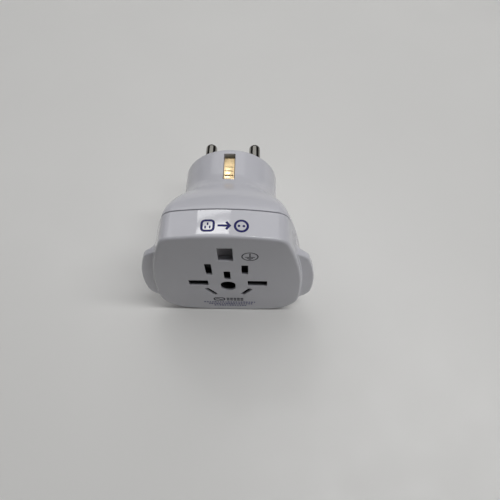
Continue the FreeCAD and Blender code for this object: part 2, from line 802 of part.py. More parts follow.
def make_shutter():
    body = doc.addObject("PartDesign::Body", "shutter")
    end = "shutter_start + shutter_thick"
    notch = "spring_radius + 2 * spring_wire"
    corner = "case_screw_x - boss_radius - 2 * frame_play"
    shelf = "case_screw_z + boss_radius + travel + 2 * frame_play"
    pad(body, "shutter_plate", "shutter_start", end, [
        ("-shutter_half_width", "shutter_top"), ("-shutter_half_width", shelf), (f"-({corner})", shelf),
        (f"-({corner})", "shutter_bottom"), (f"-({notch})", "shutter_bottom"), (f"-({notch})", "spring_top"),
        (notch, "spring_top"), (notch, "shutter_bottom"), (corner, "shutter_bottom"), (corner, shelf),
        ("shutter_half_width", shelf), ("shutter_half_width", "shutter_top"),
        ("ramp_half_width", "shutter_top"), ("ramp_half_width", "ramp_foot"),
        ("-ramp_half_width", "ramp_foot"), ("-ramp_half_width", "shutter_top"),
    ])
    windows = [block(f"{x} - {width} / 2 - slot_play", f"{x} + {width} / 2 + slot_play",
                     f"{z} + travel - {height} / 2 - slot_play", f"{z} + travel + {height} / 2 + slot_play")
               for name, x, z, width, height in openings() if "blade" in name or "wide" in name]
    windows += [slanted_block(side, "slot_play", "travel") for side in (-1, 1)]
    pocket(body, "shutter_windows", "shutter_start", f"{end} + overcut", *windows)
    small = "small_slot_width / 2 + slot_play"
    hole = "round_slot_width / 2 + slot_play"
    small_high = "small_slot_z + small_slot_height / 2 + travel + slot_play"
    round_high = "round_slot_z + round_slot_height / 2 + travel + slot_play"
    round_low = "round_slot_z - round_slot_height / 2 - slot_play"
    pocket(body, "shutter_earth_window", "shutter_start", f"{end} + overcut", [
        (f"-({hole})", round_low), (hole, round_low), (hole, round_high), (small, round_high),
        (small, small_high), (f"-({small})", small_high), (f"-({small})", round_high),
        (f"-({hole})", round_high),
    ])
    pad(body, "spring_seat", "shutter_start", "frame_end - frame_play",
        block("-spring_seat_half", "spring_seat_half", "spring_top", "spring_top + spring_seat_thick"))
    ramp = sketch(body, "ramp_sketch", "YZ_Plane")
    polygon(ramp, [
        ("shutter_start - body_length", "ramp_foot"),
        ("shutter_start + ramp_rise - body_length", "ramp_foot + ramp_rise"),
        ("shutter_start + ramp_rise - body_length", "ramp_foot + ramp_rise - ramp_thick"),
        (f"{end} - body_length", "ramp_foot + shutter_thick - ramp_thick"),
        (f"{end} - body_length", "ramp_foot - ramp_thick"),
        ("shutter_start - body_length", "ramp_foot - ramp_thick"),
    ])
    wedge = body.newObject("PartDesign::Pad", "ramp")
    wedge.Profile = ramp
    wedge.Type = "Length"
    wedge.Midplane = True
    wedge.setExpression("Length", link("2 * ramp_half_width"))
    return body


def make_shutter_frame():
    edge = "shutter_half_width + frame_play"
    low = "case_screw_z + boss_radius + frame_play"
    top = "shutter_top + frame_play"
    feet = ("-frame_foot_half", "frame_foot_half")
    half = f"({edge} + frame_rail)"
    plate = box("frame_plate", f"-{half}", half, "frame_start", "frame_end", low, top)
    foot = box("frame_foot", *feet, "frame_start", "frame_end", "frame_bottom", "0")
    head = box("frame_head", *feet, "frame_start", "frame_end", "0", "frame_top")
    ledge = box("frame_ledge_block", *feet, "face_wall", "frame_end", "frame_bottom", SPRING_LOW)
    pad_top = box("frame_pad", *feet, "face_wall", "frame_end",
                  "tall_slot_z + tall_slot_height / 2 + frame_play", "frame_top")
    rails = [side_box(f"frame_rail_{side_names(s)}", s, edge, f"{edge} + frame_rail", "face_wall", "frame_end",
                      low, top) for s in (-1, 1)]
    through = ("frame_start - overcut", "frame_end + overcut")
    tools = slot_tools("frame", "slot_play", *through)
    tools.append(box("frame_ramp_window", f"-{RAMP_CLEAR}", RAMP_CLEAR, *through, RAMP_LOW, RAMP_HIGH))
    seat_half = "(spring_seat_half + frame_play)"
    tools.append(box("frame_spring_window", f"-{seat_half}", seat_half, *through, SPRING_LOW,
                     "spring_top + spring_seat_thick + frame_play"))
    tools += [rod(f"frame_screw_hole_{side_names(s)}", f"{s} * carrier_screw_x", "carrier_screw_z", *through,
                  "small_screw_radius + screw_play") for s in (-1, 1)]
    return cut("shutter_frame", fuse("frame_block", plate, foot, head, ledge, pad_top, *rails), *tools)


def make_spring():
    """A coil of round wire between the frame's ledge and the shutter's seat."""
    low = at.frame_bottom + at.frame_ledge + at.spring_wire / 2
    high = at.spring_top - at.spring_wire / 2
    pitch = (high - low) / at.spring_turns
    coil = Part.makeHelix(pitch, high - low, at.spring_radius)
    start = coil.Edges[0].valueAt(coil.Edges[0].FirstParameter)
    heading = coil.Edges[0].tangentAt(coil.Edges[0].FirstParameter)
    wire = Part.Wire([Part.Circle(start, heading, at.spring_wire / 2).toShape()])
    shape = Part.Wire(coil.Edges).makePipeShell([wire], True, True)
    obj = solid("shutter_spring", shape)
    obj.Placement = Placement(Vector(0, depth_y(at.spring_depth), low), Rotation())
    return obj


# The contact carrier and its cover


def make_carrier():
    main = box("carrier_block", "-carrier_half_width", "carrier_half_width", "carrier_start", "carrier_end",
               "carrier_bottom", "carrier_shoulder")
    tower = box("carrier_tower", "-carrier_tower_half", "carrier_tower_half", "carrier_start", "carrier_end",
                "0", "carrier_top")
    through = ("carrier_start - overcut", "carrier_end + overcut")
    tools = slot_tools("pocket", "pocket_margin", *through)
    tools.append(box("carrier_ramp_pocket", f"-{RAMP_CLEAR}", RAMP_CLEAR, "carrier_start - overcut",
                     "ramp_pocket_end", RAMP_LOW, RAMP_HIGH))
    tools += [rod(f"carrier_screw_hole_{side_names(s)}", f"{s} * carrier_screw_x", "carrier_screw_z", *through,
                  "small_screw_radius + screw_play") for s in (-1, 1)]
    return cut("contact_carrier", fuse("carrier_whole", main, tower), *tools)


def make_carrier_cover():
    body = doc.addObject("PartDesign::Body", "carrier_cover")
    pad(body, "cover_plate", COVER_START, COVER_END,
        block("-carrier_half_width", "carrier_half_width", "carrier_bottom", "carrier_shoulder"))
    loops = []
    for s in (-1, 1):
        foot = span(s, f"{FOOT_START} - clip_play", f"{LEG_END} + clip_play")
        loops.append(block(*foot, "link_leg_low - clip_play", "link_half_height + clip_play"))
        loops.append((f"{s} * carrier_screw_x", "carrier_screw_z", "small_screw_radius + screw_play"))
    loops.append(("0", "round_slot_z", "round_slot_width / 2 + slot_play"))
    loops.append(block("-(small_slot_width / 2 + clip_play)", "small_slot_width / 2 + clip_play",
                       "small_slot_z - small_slot_height / 2", "small_slot_z + small_slot_height / 2"))
    pocket(body, "cover_windows", COVER_START, f"{COVER_END} + overcut", *loops)
    pocket(body, "cover_earth_gap", COVER_START, f"{COVER_END} + overcut",
           block("-(clip_half_width + clip_play)", "clip_half_width + clip_play", "earth_link_z - clip_play",
                 "carrier_shoulder + overcut"))
    walls = [block(*span(s, "cover_wall_x", "cover_wall_x + cover_wall"), "-cover_wall_half", "cover_wall_half")
             for s in (-1, 1)]
    wall_end = f"{HOLDER_START} - strip - small_screw_head_height - frame_play"
    pad(body, "cover_walls", COVER_START, wall_end, *walls)
    return body


# The contacts, and the strips that join them to the pins and the clips


def leaf_pair(name, side, x, z, gap, half, upright):
    """Two leaves that grip a pin from both sides; upright ones stand left and right of it."""
    leaves = []
    middle = f"{side} * {x}"
    for s in (-1, 1):
        thin = span(s, f"{gap} / 2", f"{gap} / 2 + leaf")
        broad = (f"-{half}", half)
        across, up = (thin, broad) if upright else (broad, thin)
        leaves.append(box(f"{name}_{side_names(s)}", f"{middle} + {across[0]}", f"{middle} + {across[1]}",
                          "leaf_start", LEAF_END, f"{z} + {up[0]}", f"{z} + {up[1]}"))
    return leaves


def make_line_contact(name, side):
    upright = side_box(f"{name}_upright", side, "bus_inner_x", "bus_outer_x", "carrier_end", COVER_START,
                       "slant_slot_z - slant_slot_length / 2 + slot_play",
                       "blade_slot_z + left_blade_height / 2 - slot_play")
    reach = "(square_pin_gap / 2 + leaf / 2)"
    across = side_box(f"{name}_across", side, "bus_outer_x - slot_play",
                      "wide_slot_x + wide_leaf_half + slot_play", "carrier_end", COVER_START,
                      f"wide_slot_z - {reach}", f"wide_slot_z + {reach}")
    leaves = leaf_pair(f"{name}_blade", side, "blade_slot_x", "blade_slot_z", "blade_gap",
                       "blade_leaf_half", True)
    leaves += leaf_pair(f"{name}_wide", side, "wide_slot_x", "wide_slot_z", "square_pin_gap",
                        "wide_leaf_half", False)
    for s in (-1, 1):
        leaves.append(slanted(f"{name}_slant_{side_names(s)}", side, "-slant_leaf_half", "slant_leaf_half",
                              *span(s, "slant_gap / 2", "slant_gap / 2 + leaf"), "leaf_start", LEAF_END))
    hole = rod(f"{name}_rivet_hole", f"{side} * {RIVET_X}", RIVET_Z, "carrier_end - overcut",
               f"{COVER_START} + overcut", "rivet_radius + screw_play")
    return cut(name, fuse(f"{name}_strip", upright, across, *leaves), hole)


def make_line_link(name, side):
    foot = side_box(f"{name}_foot", side, FOOT_START, LEG_END, COVER_START, f"{COVER_START} + strip",
                    "link_leg_low", FOOT_HIGH)
    leg = side_box(f"{name}_leg", side, "link_leg_x", LEG_END, COVER_START, HOLDER_START, "link_leg_low",
                   "link_half_height")
    tab = side_box(f"{name}_tab", side, "pin_spacing / 2 - small_screw_head - strip", LEG_END,
                   f"{HOLDER_START} - strip", HOLDER_START, "-link_half_height", "link_half_height")
    hole = rod(f"{name}_screw_hole", f"{side} * pin_spacing / 2", "0", f"{HOLDER_START} - strip - overcut",
               f"{HOLDER_START} + overcut", "small_screw_radius + screw_play")
    rivet = rod(f"{name}_rivet_hole", f"{side} * {RIVET_X}", RIVET_Z, f"{COVER_START} - overcut",
                f"{COVER_START} + strip + overcut", "rivet_radius + screw_play")
    return cut(name, fuse(f"{name}_strip", foot, leg, tab), hole, rivet)


def make_earth_contact():
    strip = box("earth_strip", "-earth_half_width", "earth_half_width", "carrier_end", COVER_START,
                "round_slot_z - round_slot_height / 2 - slot_play", "tall_slot_z + tall_slot_height / 2")
    leaves = leaf_pair("earth_tall", 1, "0", "tall_slot_z", "square_pin_gap", "tall_leaf_half", True)
    leaves += leaf_pair("earth_small", 1, "0", "small_slot_z", "blade_gap", "small_leaf_half", True)
    leaves += leaf_pair("earth_round", 1, "0", "round_slot_z", "round_pin_gap", "round_leaf_half", True)
    through = ("carrier_end - overcut", f"{COVER_START} + overcut")
    windows = [box("earth_tall_window", "-square_pin_gap / 2", "square_pin_gap / 2", *through,
                   "tall_slot_z - tall_leaf_half - leaf", "tall_slot_z + tall_leaf_half + leaf"),
               box("earth_small_window", "-blade_gap / 2", "blade_gap / 2", *through,
                   "small_slot_z - small_leaf_half", "small_slot_z + small_leaf_half"),
               rod("earth_round_window", "0", "round_slot_z", *through, "round_pin_gap / 2"),
               rod("earth_contact_rivet_hole", "0", EARTH_RIVET_Z, *through, "rivet_radius + screw_play")]
    return cut("earth_contact", fuse("earth_contact_strip", strip, *leaves), *windows)


def make_earth_link():
    half = "clip_half_width"
    reach = "(clip_rivet_z + rivet_head)"
    plate = box("earth_link_plate", f"-{half}", half, LINK_PLATE, CLIP_START, f"-{reach}", reach)
    leg = box("earth_link_leg", f"-{half}", half, COVER_START, CLIP_START, "earth_link_z",
              "earth_link_z + strip")
    foot = box("earth_link_foot", f"-{half}", half, COVER_START, f"{COVER_START} + strip", "earth_link_z",
               "carrier_shoulder")
    holes = [rod(f"earth_link_hole_{side_names(s)}", "0", f"{s} * clip_rivet_z", f"{LINK_PLATE} - overcut",
                 f"{CLIP_START} + overcut", "rivet_radius + screw_play") for s in (-1, 1)]
    holes.append(rod("earth_link_foot_hole", "0", EARTH_RIVET_Z, f"{COVER_START} - overcut",
                     f"{COVER_START} + strip + overcut", "rivet_radius + screw_play"))
    return cut("earth_link", fuse("earth_link_strip", plate, leg, foot), *holes)


CLIP_RIDGES = 3


def make_clip(name, side):
    """A side contact: a strip in the barrel's wall, a leg down to the link and a hooked end."""
    half = "clip_half_width"
    spans = [("strip", CLIP_START, CLIP_END, f"{CLIP_TOP} - strip"),
             ("leg", CLIP_START, f"{CLIP_START} + strip", CLIP_FOOT),
             ("hook", f"{CLIP_END} - strip", CLIP_END, f"{CLIP_TOP} - strip - clip_hook")]
    pieces = [box(f"{name}_{word}", f"-{half}", half, d0, d1, *span(side, low, CLIP_TOP))
              for word, d0, d1, low in spans]
    for i in range(CLIP_RIDGES):
        ridge = doc.addObject("Part::Cylinder", f"{name}_ridge_{i}")
        ridge.Placement = Placement(Vector(), Rotation(Vector(0, 1, 0), 90))
        bind(ridge, Radius="clip_ridge", Height=f"2 * {half}", Placement__Base__x=f"-{half}",
             Placement__Base__y=f"{CLIP_START} + ({i} + 2) * clip_ridge_step - body_length",
             Placement__Base__z=f"{side} * {CLIP_TOP}")
        pieces.append(ridge)
    hole = rod(f"{name}_rivet_hole", "0", f"{side} * clip_rivet_z", f"{CLIP_START} - overcut",
               f"{CLIP_START} + strip + overcut", "rivet_radius + screw_play")
    return cut(name, fuse(f"{name}_bent", *pieces), hole)


def rivet(name, x, z, d0, d1, two_heads):
    """A rivet whose stem fills two strips, with a head behind and, where there is room, one in front."""
    stem = rod(f"{name}_stem", x, z, d0, d1, "rivet_radius")
    heads = [rod(f"{name}_head", x, z, d1, f"{d1} + rivet_head_height", "rivet_head")]
    if two_heads:
        heads.append(rod(f"{name}_front_head", x, z, f"{d0} - rivet_head_height", d0, "rivet_head"))
    return fuse(name, stem, *heads)


def make_clip_rivets():
    return group("clip_rivets", *[rivet(f"clip_rivet_{side_names(s)}", "0", f"{s} * clip_rivet_z", LINK_PLATE,
                                        f"{CLIP_START} + strip", True) for s in (-1, 1)])


def make_link_rivets():
    depths = ("carrier_end", f"{COVER_START} + strip")
    pieces = [rivet(f"link_rivet_{side_names(s)}", f"{s} * {RIVET_X}", RIVET_Z, *depths, False)
              for s in (-1, 1)]
    pieces.append(rivet("link_rivet_earth", "0", EARTH_RIVET_Z, *depths, False))
    return group("link_rivets", *pieces)


NODES = [
    make_front_shell(),
    make_rear_shell(),
    make_shutter(),
    make_shutter_frame(),
    make_spring(),
    make_carrier(),
    make_carrier_cover(),
    make_line_contact("live_contact", 1),
    make_line_contact("neutral_contact", -1),
    make_earth_contact(),
    make_line_link("live_link", 1),
    make_line_link("neutral_link", -1),
    make_earth_link(),
    make_clip("earth_clip_top", 1),
    make_clip("earth_clip_bottom", -1),
    make_pin("live_pin", 1),
    make_pin("neutral_pin", -1),
    make_pin_holder(),
    screw_pair("pin_screws", "pin_spacing / 2", "0", f"{HOLDER_START} - strip - small_screw_head_height",
               f"{HOLDER_START} - strip", f"{COLLAR_END} - collar_thick / 4", "small_screw_radius",
               "small_screw_head"),
    screw_pair("holder_screws", "holder_screw_x", "0", f"{HOLDER_START} - small_screw_head_height",
               HOLDER_START, "body_length - end_wall / 2", "small_screw_radius", "small_screw_head"),
    screw_pair("carrier_screws", "carrier_screw_x", "carrier_screw_z", f"{COVER_END} + small_screw_head_height",
               COVER_END, "frame_start + screw_play", "small_screw_radius", "small_screw_head"),
    screw_pair("case_screws", "case_screw_x", "case_screw_z", "case_screw_seat + case_screw_head_height",
               "case_screw_seat",
               "case_screw_tip", "case_screw_radius", "case_screw_head"),
    make_clip_rivets(),
    make_link_rivets(),
]

doc.recompute()
for obj in doc.Objects:
    if {"Invalid", "Error"} & set(obj.State):
        raise RuntimeError(f"{obj.Name} has state {obj.State}")
for node in NODES:
    if node.Shape.isNull() or not node.Shape.isValid():
        raise RuntimeError(f"{node.Name} has no valid shape")
os.makedirs("parts", exist_ok=True)
for node in NODES:
    node.Label = node.Name
    node.Shape.exportStep(f"parts/{node.Label}.step")
    room = node.Shape.BoundBox
    print(f"{node.Label:18} solids {len(node.Shape.Solids)}  volume {node.Shape.Volume:9.1f}"
          f"  x {room.XMin:6.1f} {room.XMax:6.1f}  y {room.YMin:6.1f} {room.YMax:6.1f}"
          f"  z {room.ZMin:6.1f} {room.ZMax:6.1f}")
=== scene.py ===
"""A travel adapter: its shells, pins, clips, case screws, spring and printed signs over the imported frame.

Places and sizes in the code are in millimetres and become metres when a piece is finished. The origin is
the centre of the plug's end face, +Y runs along the pins and +Z is up. Depths count from the socket face.
"""

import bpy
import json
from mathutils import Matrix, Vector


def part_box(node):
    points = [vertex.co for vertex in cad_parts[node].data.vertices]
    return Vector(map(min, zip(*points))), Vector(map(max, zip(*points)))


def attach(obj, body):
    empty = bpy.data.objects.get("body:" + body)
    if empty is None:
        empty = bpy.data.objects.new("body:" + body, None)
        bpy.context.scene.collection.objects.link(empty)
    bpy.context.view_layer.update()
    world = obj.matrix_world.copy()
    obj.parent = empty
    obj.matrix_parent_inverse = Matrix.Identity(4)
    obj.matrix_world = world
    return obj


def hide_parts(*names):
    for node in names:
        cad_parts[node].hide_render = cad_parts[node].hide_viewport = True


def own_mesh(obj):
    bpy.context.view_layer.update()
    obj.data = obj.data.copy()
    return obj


bl_info = {
    "name": "Travel adapter",
    "version": (1, 0, 0),
    "blender": (4, 5, 0),
    "location": "View3D > Sidebar > Adapter",
    "description": "Builds an earthed travel adapter with its finishes, light and camera",
    "category": "Object",
}

import json
import math
from bisect import bisect

import bmesh
import bpy
from bpy.props import FloatProperty, FloatVectorProperty, IntProperty, PointerProperty
from mathutils import Matrix, Vector
from mathutils.geometry import delaunay_2d_cdt

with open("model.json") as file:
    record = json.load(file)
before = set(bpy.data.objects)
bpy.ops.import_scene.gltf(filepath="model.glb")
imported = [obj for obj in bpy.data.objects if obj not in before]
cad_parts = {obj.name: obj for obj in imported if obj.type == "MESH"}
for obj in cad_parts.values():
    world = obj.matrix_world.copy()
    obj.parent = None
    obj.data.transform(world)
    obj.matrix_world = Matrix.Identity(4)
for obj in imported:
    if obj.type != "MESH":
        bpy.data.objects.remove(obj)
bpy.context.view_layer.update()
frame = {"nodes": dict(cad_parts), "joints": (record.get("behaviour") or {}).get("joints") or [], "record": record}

MM = 0.001
SHARP = math.radians(30.0)


# Sizes and colours that a user can change


def number(name, description, default, **more):
    return FloatProperty(name=name, description=description, default=default, **more)


def length(name, description, size):
    return number(name, description, size * MM, unit="LENGTH", precision=5)


def amount(name, description, default):
    return IntProperty(name=name, description=description, default=default, min=0)


def tint(name, description, colour):
    return FloatVectorProperty(name=name, description=description, default=colour, size=3, min=0.0, max=1.0,
                               subtype="COLOR")


def box_mm(node):
    low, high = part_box(node)
    return low / MM, high / MM


class AdapterShellSizes(bpy.types.PropertyGroup):
    """The sizes of the two white shells."""

    body_length: length("Body length", "From the socket face to the plug's end face", 45.8)
    face_half_width: length("Face half width", "Half the width of the socket face", 28.0)
    face_top: length("Face top", "Height of the face above the middle of the plug", 29.65)
    face_bottom: length("Face bottom", "Height of the lowest point, which the adapter stands on", -30.65)
    face_edge: length("Face edge", "Radius of the rounding round the face", 1.0)
    slot_edge: length("Slot edge", "Width of the small bevel round the openings", 0.1)
    wall: length("Wall", "Thickness of the shells", 1.8)
    face_wall: length("Face wall", "Thickness of the socket face", 2.0)
    seam_depth: length("Seam depth", "Depth of the seam between the shells", 10.3)
    seam_gap: length("Seam gap", "Width of the seam", 0.3)
    grip_half_width: length("Grip half width", "Half the width over the finger grips", 32.6)
    grip_setback: length("Grip setback", "How far the grips lie behind the face", 2.4)
    grip_thick: length("Grip thickness", "Thickness of the grips at their rim", 2.2)
    grip_root: length("Grip root", "Depth at which the grips have run into the band", 9.9)
    barrel_radius: length("Barrel radius", "Radius of the round plug barrel", 18.5)
    barrel_length: length("Barrel length", "Length of the barrel behind the bell", 15.5)
    barrel_rim: length("Barrel rim", "Radius of the rounding at the barrel's end", 0.8)


class AdapterFittingSizes(bpy.types.PropertyGroup):
    """The sizes of the metal fittings and the printed signs."""

    pin_length: length("Pin length", "How far the pins stand out", box_mm("live_pin")[1].y)
    pin_radius: length("Pin radius", "Radius of the bare pin", 2.4)
    pin_tip: length("Pin tip", "Radius of the rounding at the pin's tip", 1.5)
    clip_half_width: length("Clip half width", "Half the width of the earth clips", 1.95)
    clip_ridge: length("Clip ridge", "Radius of the ridges across the clips", 0.35)
    clip_ridges: amount("Clip ridges", "Number of ridges on each clip", 3)
    screw_head: length("Screw head", "Radius of the case screws' heads", 2.7)
    sign_line: length("Sign line", "Width of the printed lines on the band", 0.75)
    fine_print: length("Fine print", "Height of the small printed dashes", 1.3)
    spring_wire: length("Spring wire", "Thickness of the return spring's wire", 0.4)
    spring_turns: number("Spring turns", "Turns of the return spring", 6.0, min=1.0)
    flank_ribs: amount("Flank ribs", "Number of fine ribs on the right flank", 4)


class AdapterColours(bpy.types.PropertyGroup):
    """The colours of the finishes."""

    shell: tint("Shell", "Gloss moulded white", (0.60, 0.60, 0.645))
    shutter: tint("Shutter", "Grey plastic of the ramp in the tall opening", (0.52, 0.51, 0.53))
    black: tint("Insulator", "Matt black plastic inside", (0.012, 0.012, 0.012))
    brass: tint("Brass", "Stamped contact brass", (0.72, 0.50, 0.20))
    clip: tint("Clip brass", "Polished brass of the earth clips", (0.93, 0.71, 0.41))
    tarnish: tint("Tarnish", "Dull green of old brass", (0.36, 0.33, 0.18))
    nickel: tint("Nickel", "Bright plate of the pins", (0.32, 0.31, 0.285))
    steel: tint("Steel", "Zinc plated screws", (0.55, 0.55, 0.57))
    ink: tint("Ink", "Navy print on the band", (0.003, 0.003, 0.085))
    grey_ink: tint("Grey ink", "Dark print on the face", (0.010, 0.010, 0.022))
    faint_ink: tint("Faint ink", "Violet fine print low on the face", (0.10, 0.10, 0.18))
    table: tint("Table", "Pale ground", (0.76, 0.755, 0.74))


class AdapterLight(bpy.types.PropertyGroup):
    """The strengths of the lights."""

    ceiling: number("Ceiling", "Brightness of the wide pale ceiling", 0.95)
    key: number("Key", "Brightness of the narrow strip above on the right", 17.0)
    fill: number("Fill", "Brightness of the soft lamp on the left", 0.4)
    front: number("Front", "Power of the narrow lamp at the front right", 0.004, unit="POWER")
    window: number("Window", "Brightness of the near pane behind", 7.5)
    far_window: number("Far window", "Brightness of the far pane behind", 5.5)
    pane: number("Dim pane", "Brightness of the pane between them", 1.2)
    room: number("Room", "Brightness of the room all round", 0.03)


class Millimetres:
    """Reads the lengths of a property group in millimetres."""

    def __init__(self, group):
        self.group = group

    def __getattr__(self, name):
        return round(getattr(self.group, name) / MM, 4)


# Outlines: an egg shape of four long arcs joined by four corner arcs, as (x, z)

ARC_POINTS = (24, 16, 90, 24, 24)
# The face's widest height, its long arcs at the side, top and bottom, and its corners above and below
WIDEST = -14.0
SIDE_ARC, TOP_ARC, BOTTOM_ARC = 105.0, 88.0, 180.0
TOP_CORNER, BOTTOM_CORNER = 5.5, 13.0


def spread(first, last, steps):
    """Evenly spaced numbers from the first to the last."""
    return [first + (last - first) * i / steps for i in range(steps + 1)]


def corner_centre(c1, r1, c2, r2, near):
    """The centre of a circle that touches two larger ones from inside, their radii already reduced."""
    span = math.hypot(c2[0] - c1[0], c2[1] - c1[1])
    along = (r1 * r1 - r2 * r2 + span * span) / (2 * span)
    aside = math.sqrt(max(r1 * r1 - along * along, 0.0))
    ux, uz = (c2[0] - c1[0]) / span, (c2[1] - c1[1]) / span
    foot = (c1[0] + along * ux, c1[1] + along * uz)
    both = [(foot[0] + s * aside * uz, foot[1] - s * aside * ux) for s in (1, -1)]
    return min(both, key=lambda c: math.hypot(c[0] - near[0], c[1] - near[1]))


def egg(half_width, widest, top, bottom, side, top_arc, bottom_arc, top_corner, bottom_corner):
    """Points round the outline, from the top centre down the right side and up the left."""
    side_c = (half_width - side, widest)
    top_c = (0.0, top - top_arc)
    bottom_c = (0.0, bottom + bottom_arc)
    up = corner_centre(side_c, side - top_corner, top_c, top_arc - top_corner, (half_width, top))
    low = corner_centre(side_c, side - bottom_corner, bottom_c, bottom_arc - bottom_corner,
                        (half_width, bottom))

    def angle(centre, point):
        return math.atan2(point[1] - centre[1], point[0] - centre[0])

    turns = (math.pi / 2, angle(top_c, up), angle(side_c, up), angle(side_c, low), angle(bottom_c, low),
             -math.pi / 2)
    arcs = ((top_c, top_arc), (up, top_corner), (side_c, side), (low, bottom_corner), (bottom_c, bottom_arc))
    half = []
    for (centre, radius), first, last, count in zip(arcs, turns, turns[1:], ARC_POINTS):
        for turn in spread(first, last, count)[:-1]:
            half.append((centre[0] + radius * math.cos(turn), centre[1] + radius * math.sin(turn)))
    half.append((0.0, bottom))
    return half + [(-x, z) for x, z in reversed(half[1:-1])]


def face_outline(s, inset=0.0):
    radii = (radius - inset for radius in (SIDE_ARC, TOP_ARC, BOTTOM_ARC, TOP_CORNER, BOTTOM_CORNER))
    return egg(s.face_half_width - inset, WIDEST, s.face_top - inset, s.face_bottom + inset, *radii)


def grip_outline(s, narrow=0.0):
    return egg(s.grip_half_width - narrow, -11.0, 17.0, -25.5, 62.0, 120.0, 120.0, 6.0, 9.0)


def circle(x, z, radius, count=48):
    turns = spread(0.0, math.tau, count)[:-1]
    return [(x + radius * math.cos(t), z + radius * math.sin(t)) for t in turns]


def quarter(steps):
    """Angles over a quarter turn."""
    return spread(0.0, math.pi / 2, steps)


def rounding(steps):
    """What a rounded edge of radius one takes off at each step, from its first side and from its second."""
    return [(1 - math.cos(t), 1 - math.sin(t)) for t in quarter(steps)]


def rounded_block(x, z, width, height, corner, turn=0.0, steps=4):
    """An oblong with rounded corners, turned about its centre by an angle in degrees."""
    points = []
    corner = min(corner, width / 2 - 1e-4, height / 2 - 1e-4)
    for i, (sx, sz) in enumerate(((1, 1), (-1, 1), (-1, -1), (1, -1))):
        cx, cz = sx * (width / 2 - corner), sz * (height / 2 - corner)
        for k in range(steps + 1):
            t = math.pi / 2 * (i + k / steps)
            points.append((cx + corner * math.cos(t), cz + corner * math.sin(t)))
    c, n = math.cos(math.radians(turn)), math.sin(math.radians(turn))
    return [(x + px * c - pz * n, z + px * n + pz * c) for px, pz in points]


def openings(grow=0.0):
    """The outlines of the nine openings in the face, each grown all round."""
    corner = 0.25 + grow
    rows = [(0.0, 18.6, 5.0, 8.4), (0.0, 3.1, 2.3, 6.4), (-6.35, 7.75, 2.3, 8.2), (6.35, 7.75, 2.3, 6.8),
            (-10.95, -3.4, 7.2, 4.1), (10.95, -3.4, 7.2, 4.1)]
    loops = [rounded_block(x, z, w + 2 * grow, h + 2 * grow, corner) for x, z, w, h in rows]
    loops.append(rounded_block(0.0, -6.05, 5.5 + 2 * grow, 7.9 + 2 * grow, 9.0, steps=12))
    loops += [rounded_block(side * 6.86, -11.3, 1.8 + 2 * grow, 7.0 + 2 * grow, 0.85 + grow, -side * 30.0)
              for side in (-1, 1)]
    return loops


# Mesh making, all in millimetres until a piece is finished


def ring(mesh, points, y):
    return [mesh.verts.new((x, y, z)) for x, z in points]


def skin(mesh, rings):
    """Faces between closed rings, each joined to the next."""
    for near, far in zip(rings, rings[1:]):
        count = len(near)
        for i in range(count):
            j = (i + 1) % count
            mesh.faces.new((near[i], near[j], far[j], far[i]))


def stack(mesh, rows):
    """Rings at their depths from (points, y) pairs, with faces between them."""
    rings = [ring(mesh, points, y) for points, y in rows]
    skin(mesh, rings)
    return rings


def holds(loop, x, z):
    """Whether a closed outline goes round a point."""
    inside = False
    for (x1, z1), (x2, z2) in zip(loop, loop[1:] + loop[:1]):
        if (z1 > z) != (z2 > z) and x < x1 + (z - z1) * (x2 - x1) / (z2 - z1):
            inside = not inside
    return inside


def fill(mesh, border, holes=()):
    """Fills a flat border across the depth with faces, round the holes in it."""
    loops = [border, *holes]
    verts = [v for loop in loops for v in loop]
    edges, first = [], 0
    for loop in loops:
        edges += [(first + i, first + (i + 1) % len(loop)) for i in range(len(loop))]
        first += len(loop)
    flat = [Vector((v.co.x, v.co.z)) for v in verts]
    outlines = [[(v.co.x, v.co.z) for v in loop] for loop in holes]
    points, _, faces, origin, _, _ = delaunay_2d_cdt(flat, edges, [], 1, 1e-6)
    for face in faces:
        x = sum(points[i].x for i in face) / 3
        z = sum(points[i].y for i in face) / 3
        if not any(holds(outline, x, z) for outline in outlines):
            mesh.faces.new([verts[origin[i][0]] for i in face])


def cap(mesh, *rings):
    for end in rings:
        mesh.faces.new(end)


def lathe(mesh, x, z, profile, count=64):
    """A closed turned solid about a line along the depth, from (radius, y) pairs."""
    rings = stack(mesh, [(circle(x, z, radius, count), y) for radius, y in profile])
    cap(mesh, rings[0], rings[-1])


def slab(mesh, first, second):
    """An upright box between two corners."""
    spans = [sorted(span) for span in zip(first, second)]
    for v in bmesh.ops.create_cube(mesh, size=1.0)["verts"]:
        v.co = [(low + high) / 2 + share * (high - low) for (low, high), share in zip(spans, v.co)]


def prism_x(mesh, outline, half_width):
    """A solid between two x, from its outline as (y, z)."""
    ends = [[mesh.verts.new((x, y, z)) for y, z in outline] for x in (-half_width, half_width)]
    skin(mesh, ends)
    cap(mesh, *ends)


def outward(mesh):
    bmesh.ops.recalc_face_normals(mesh, faces=mesh.faces)
    return mesh


def mesh_data(mesh, name):
    data = bpy.data.meshes.new(name)
    mesh.to_mesh(data)
    mesh.free()
    return data


def placed(name, data):
    obj = bpy.data.objects.new(name, data)
    bpy.context.scene.collection.objects.link(obj)
    return obj


def scratch(mesh, name="scratch"):
    """A short-lived object for one modifier."""
    return placed(name, mesh_data(mesh, name))


def applied(obj, *others):
    """The evaluated object as a new mesh. The short-lived objects go."""
    depsgraph = bpy.context.evaluated_depsgraph_get()
    data = bpy.data.meshes.new_from_object(obj.evaluated_get(depsgraph), depsgraph=depsgraph)
    result = bmesh.new()
    result.from_mesh(data)
    bpy.data.meshes.remove(data)
    for used in (obj, *others):
        mesh = used.data
        bpy.data.objects.remove(used)
        bpy.data.meshes.remove(mesh)
    return result


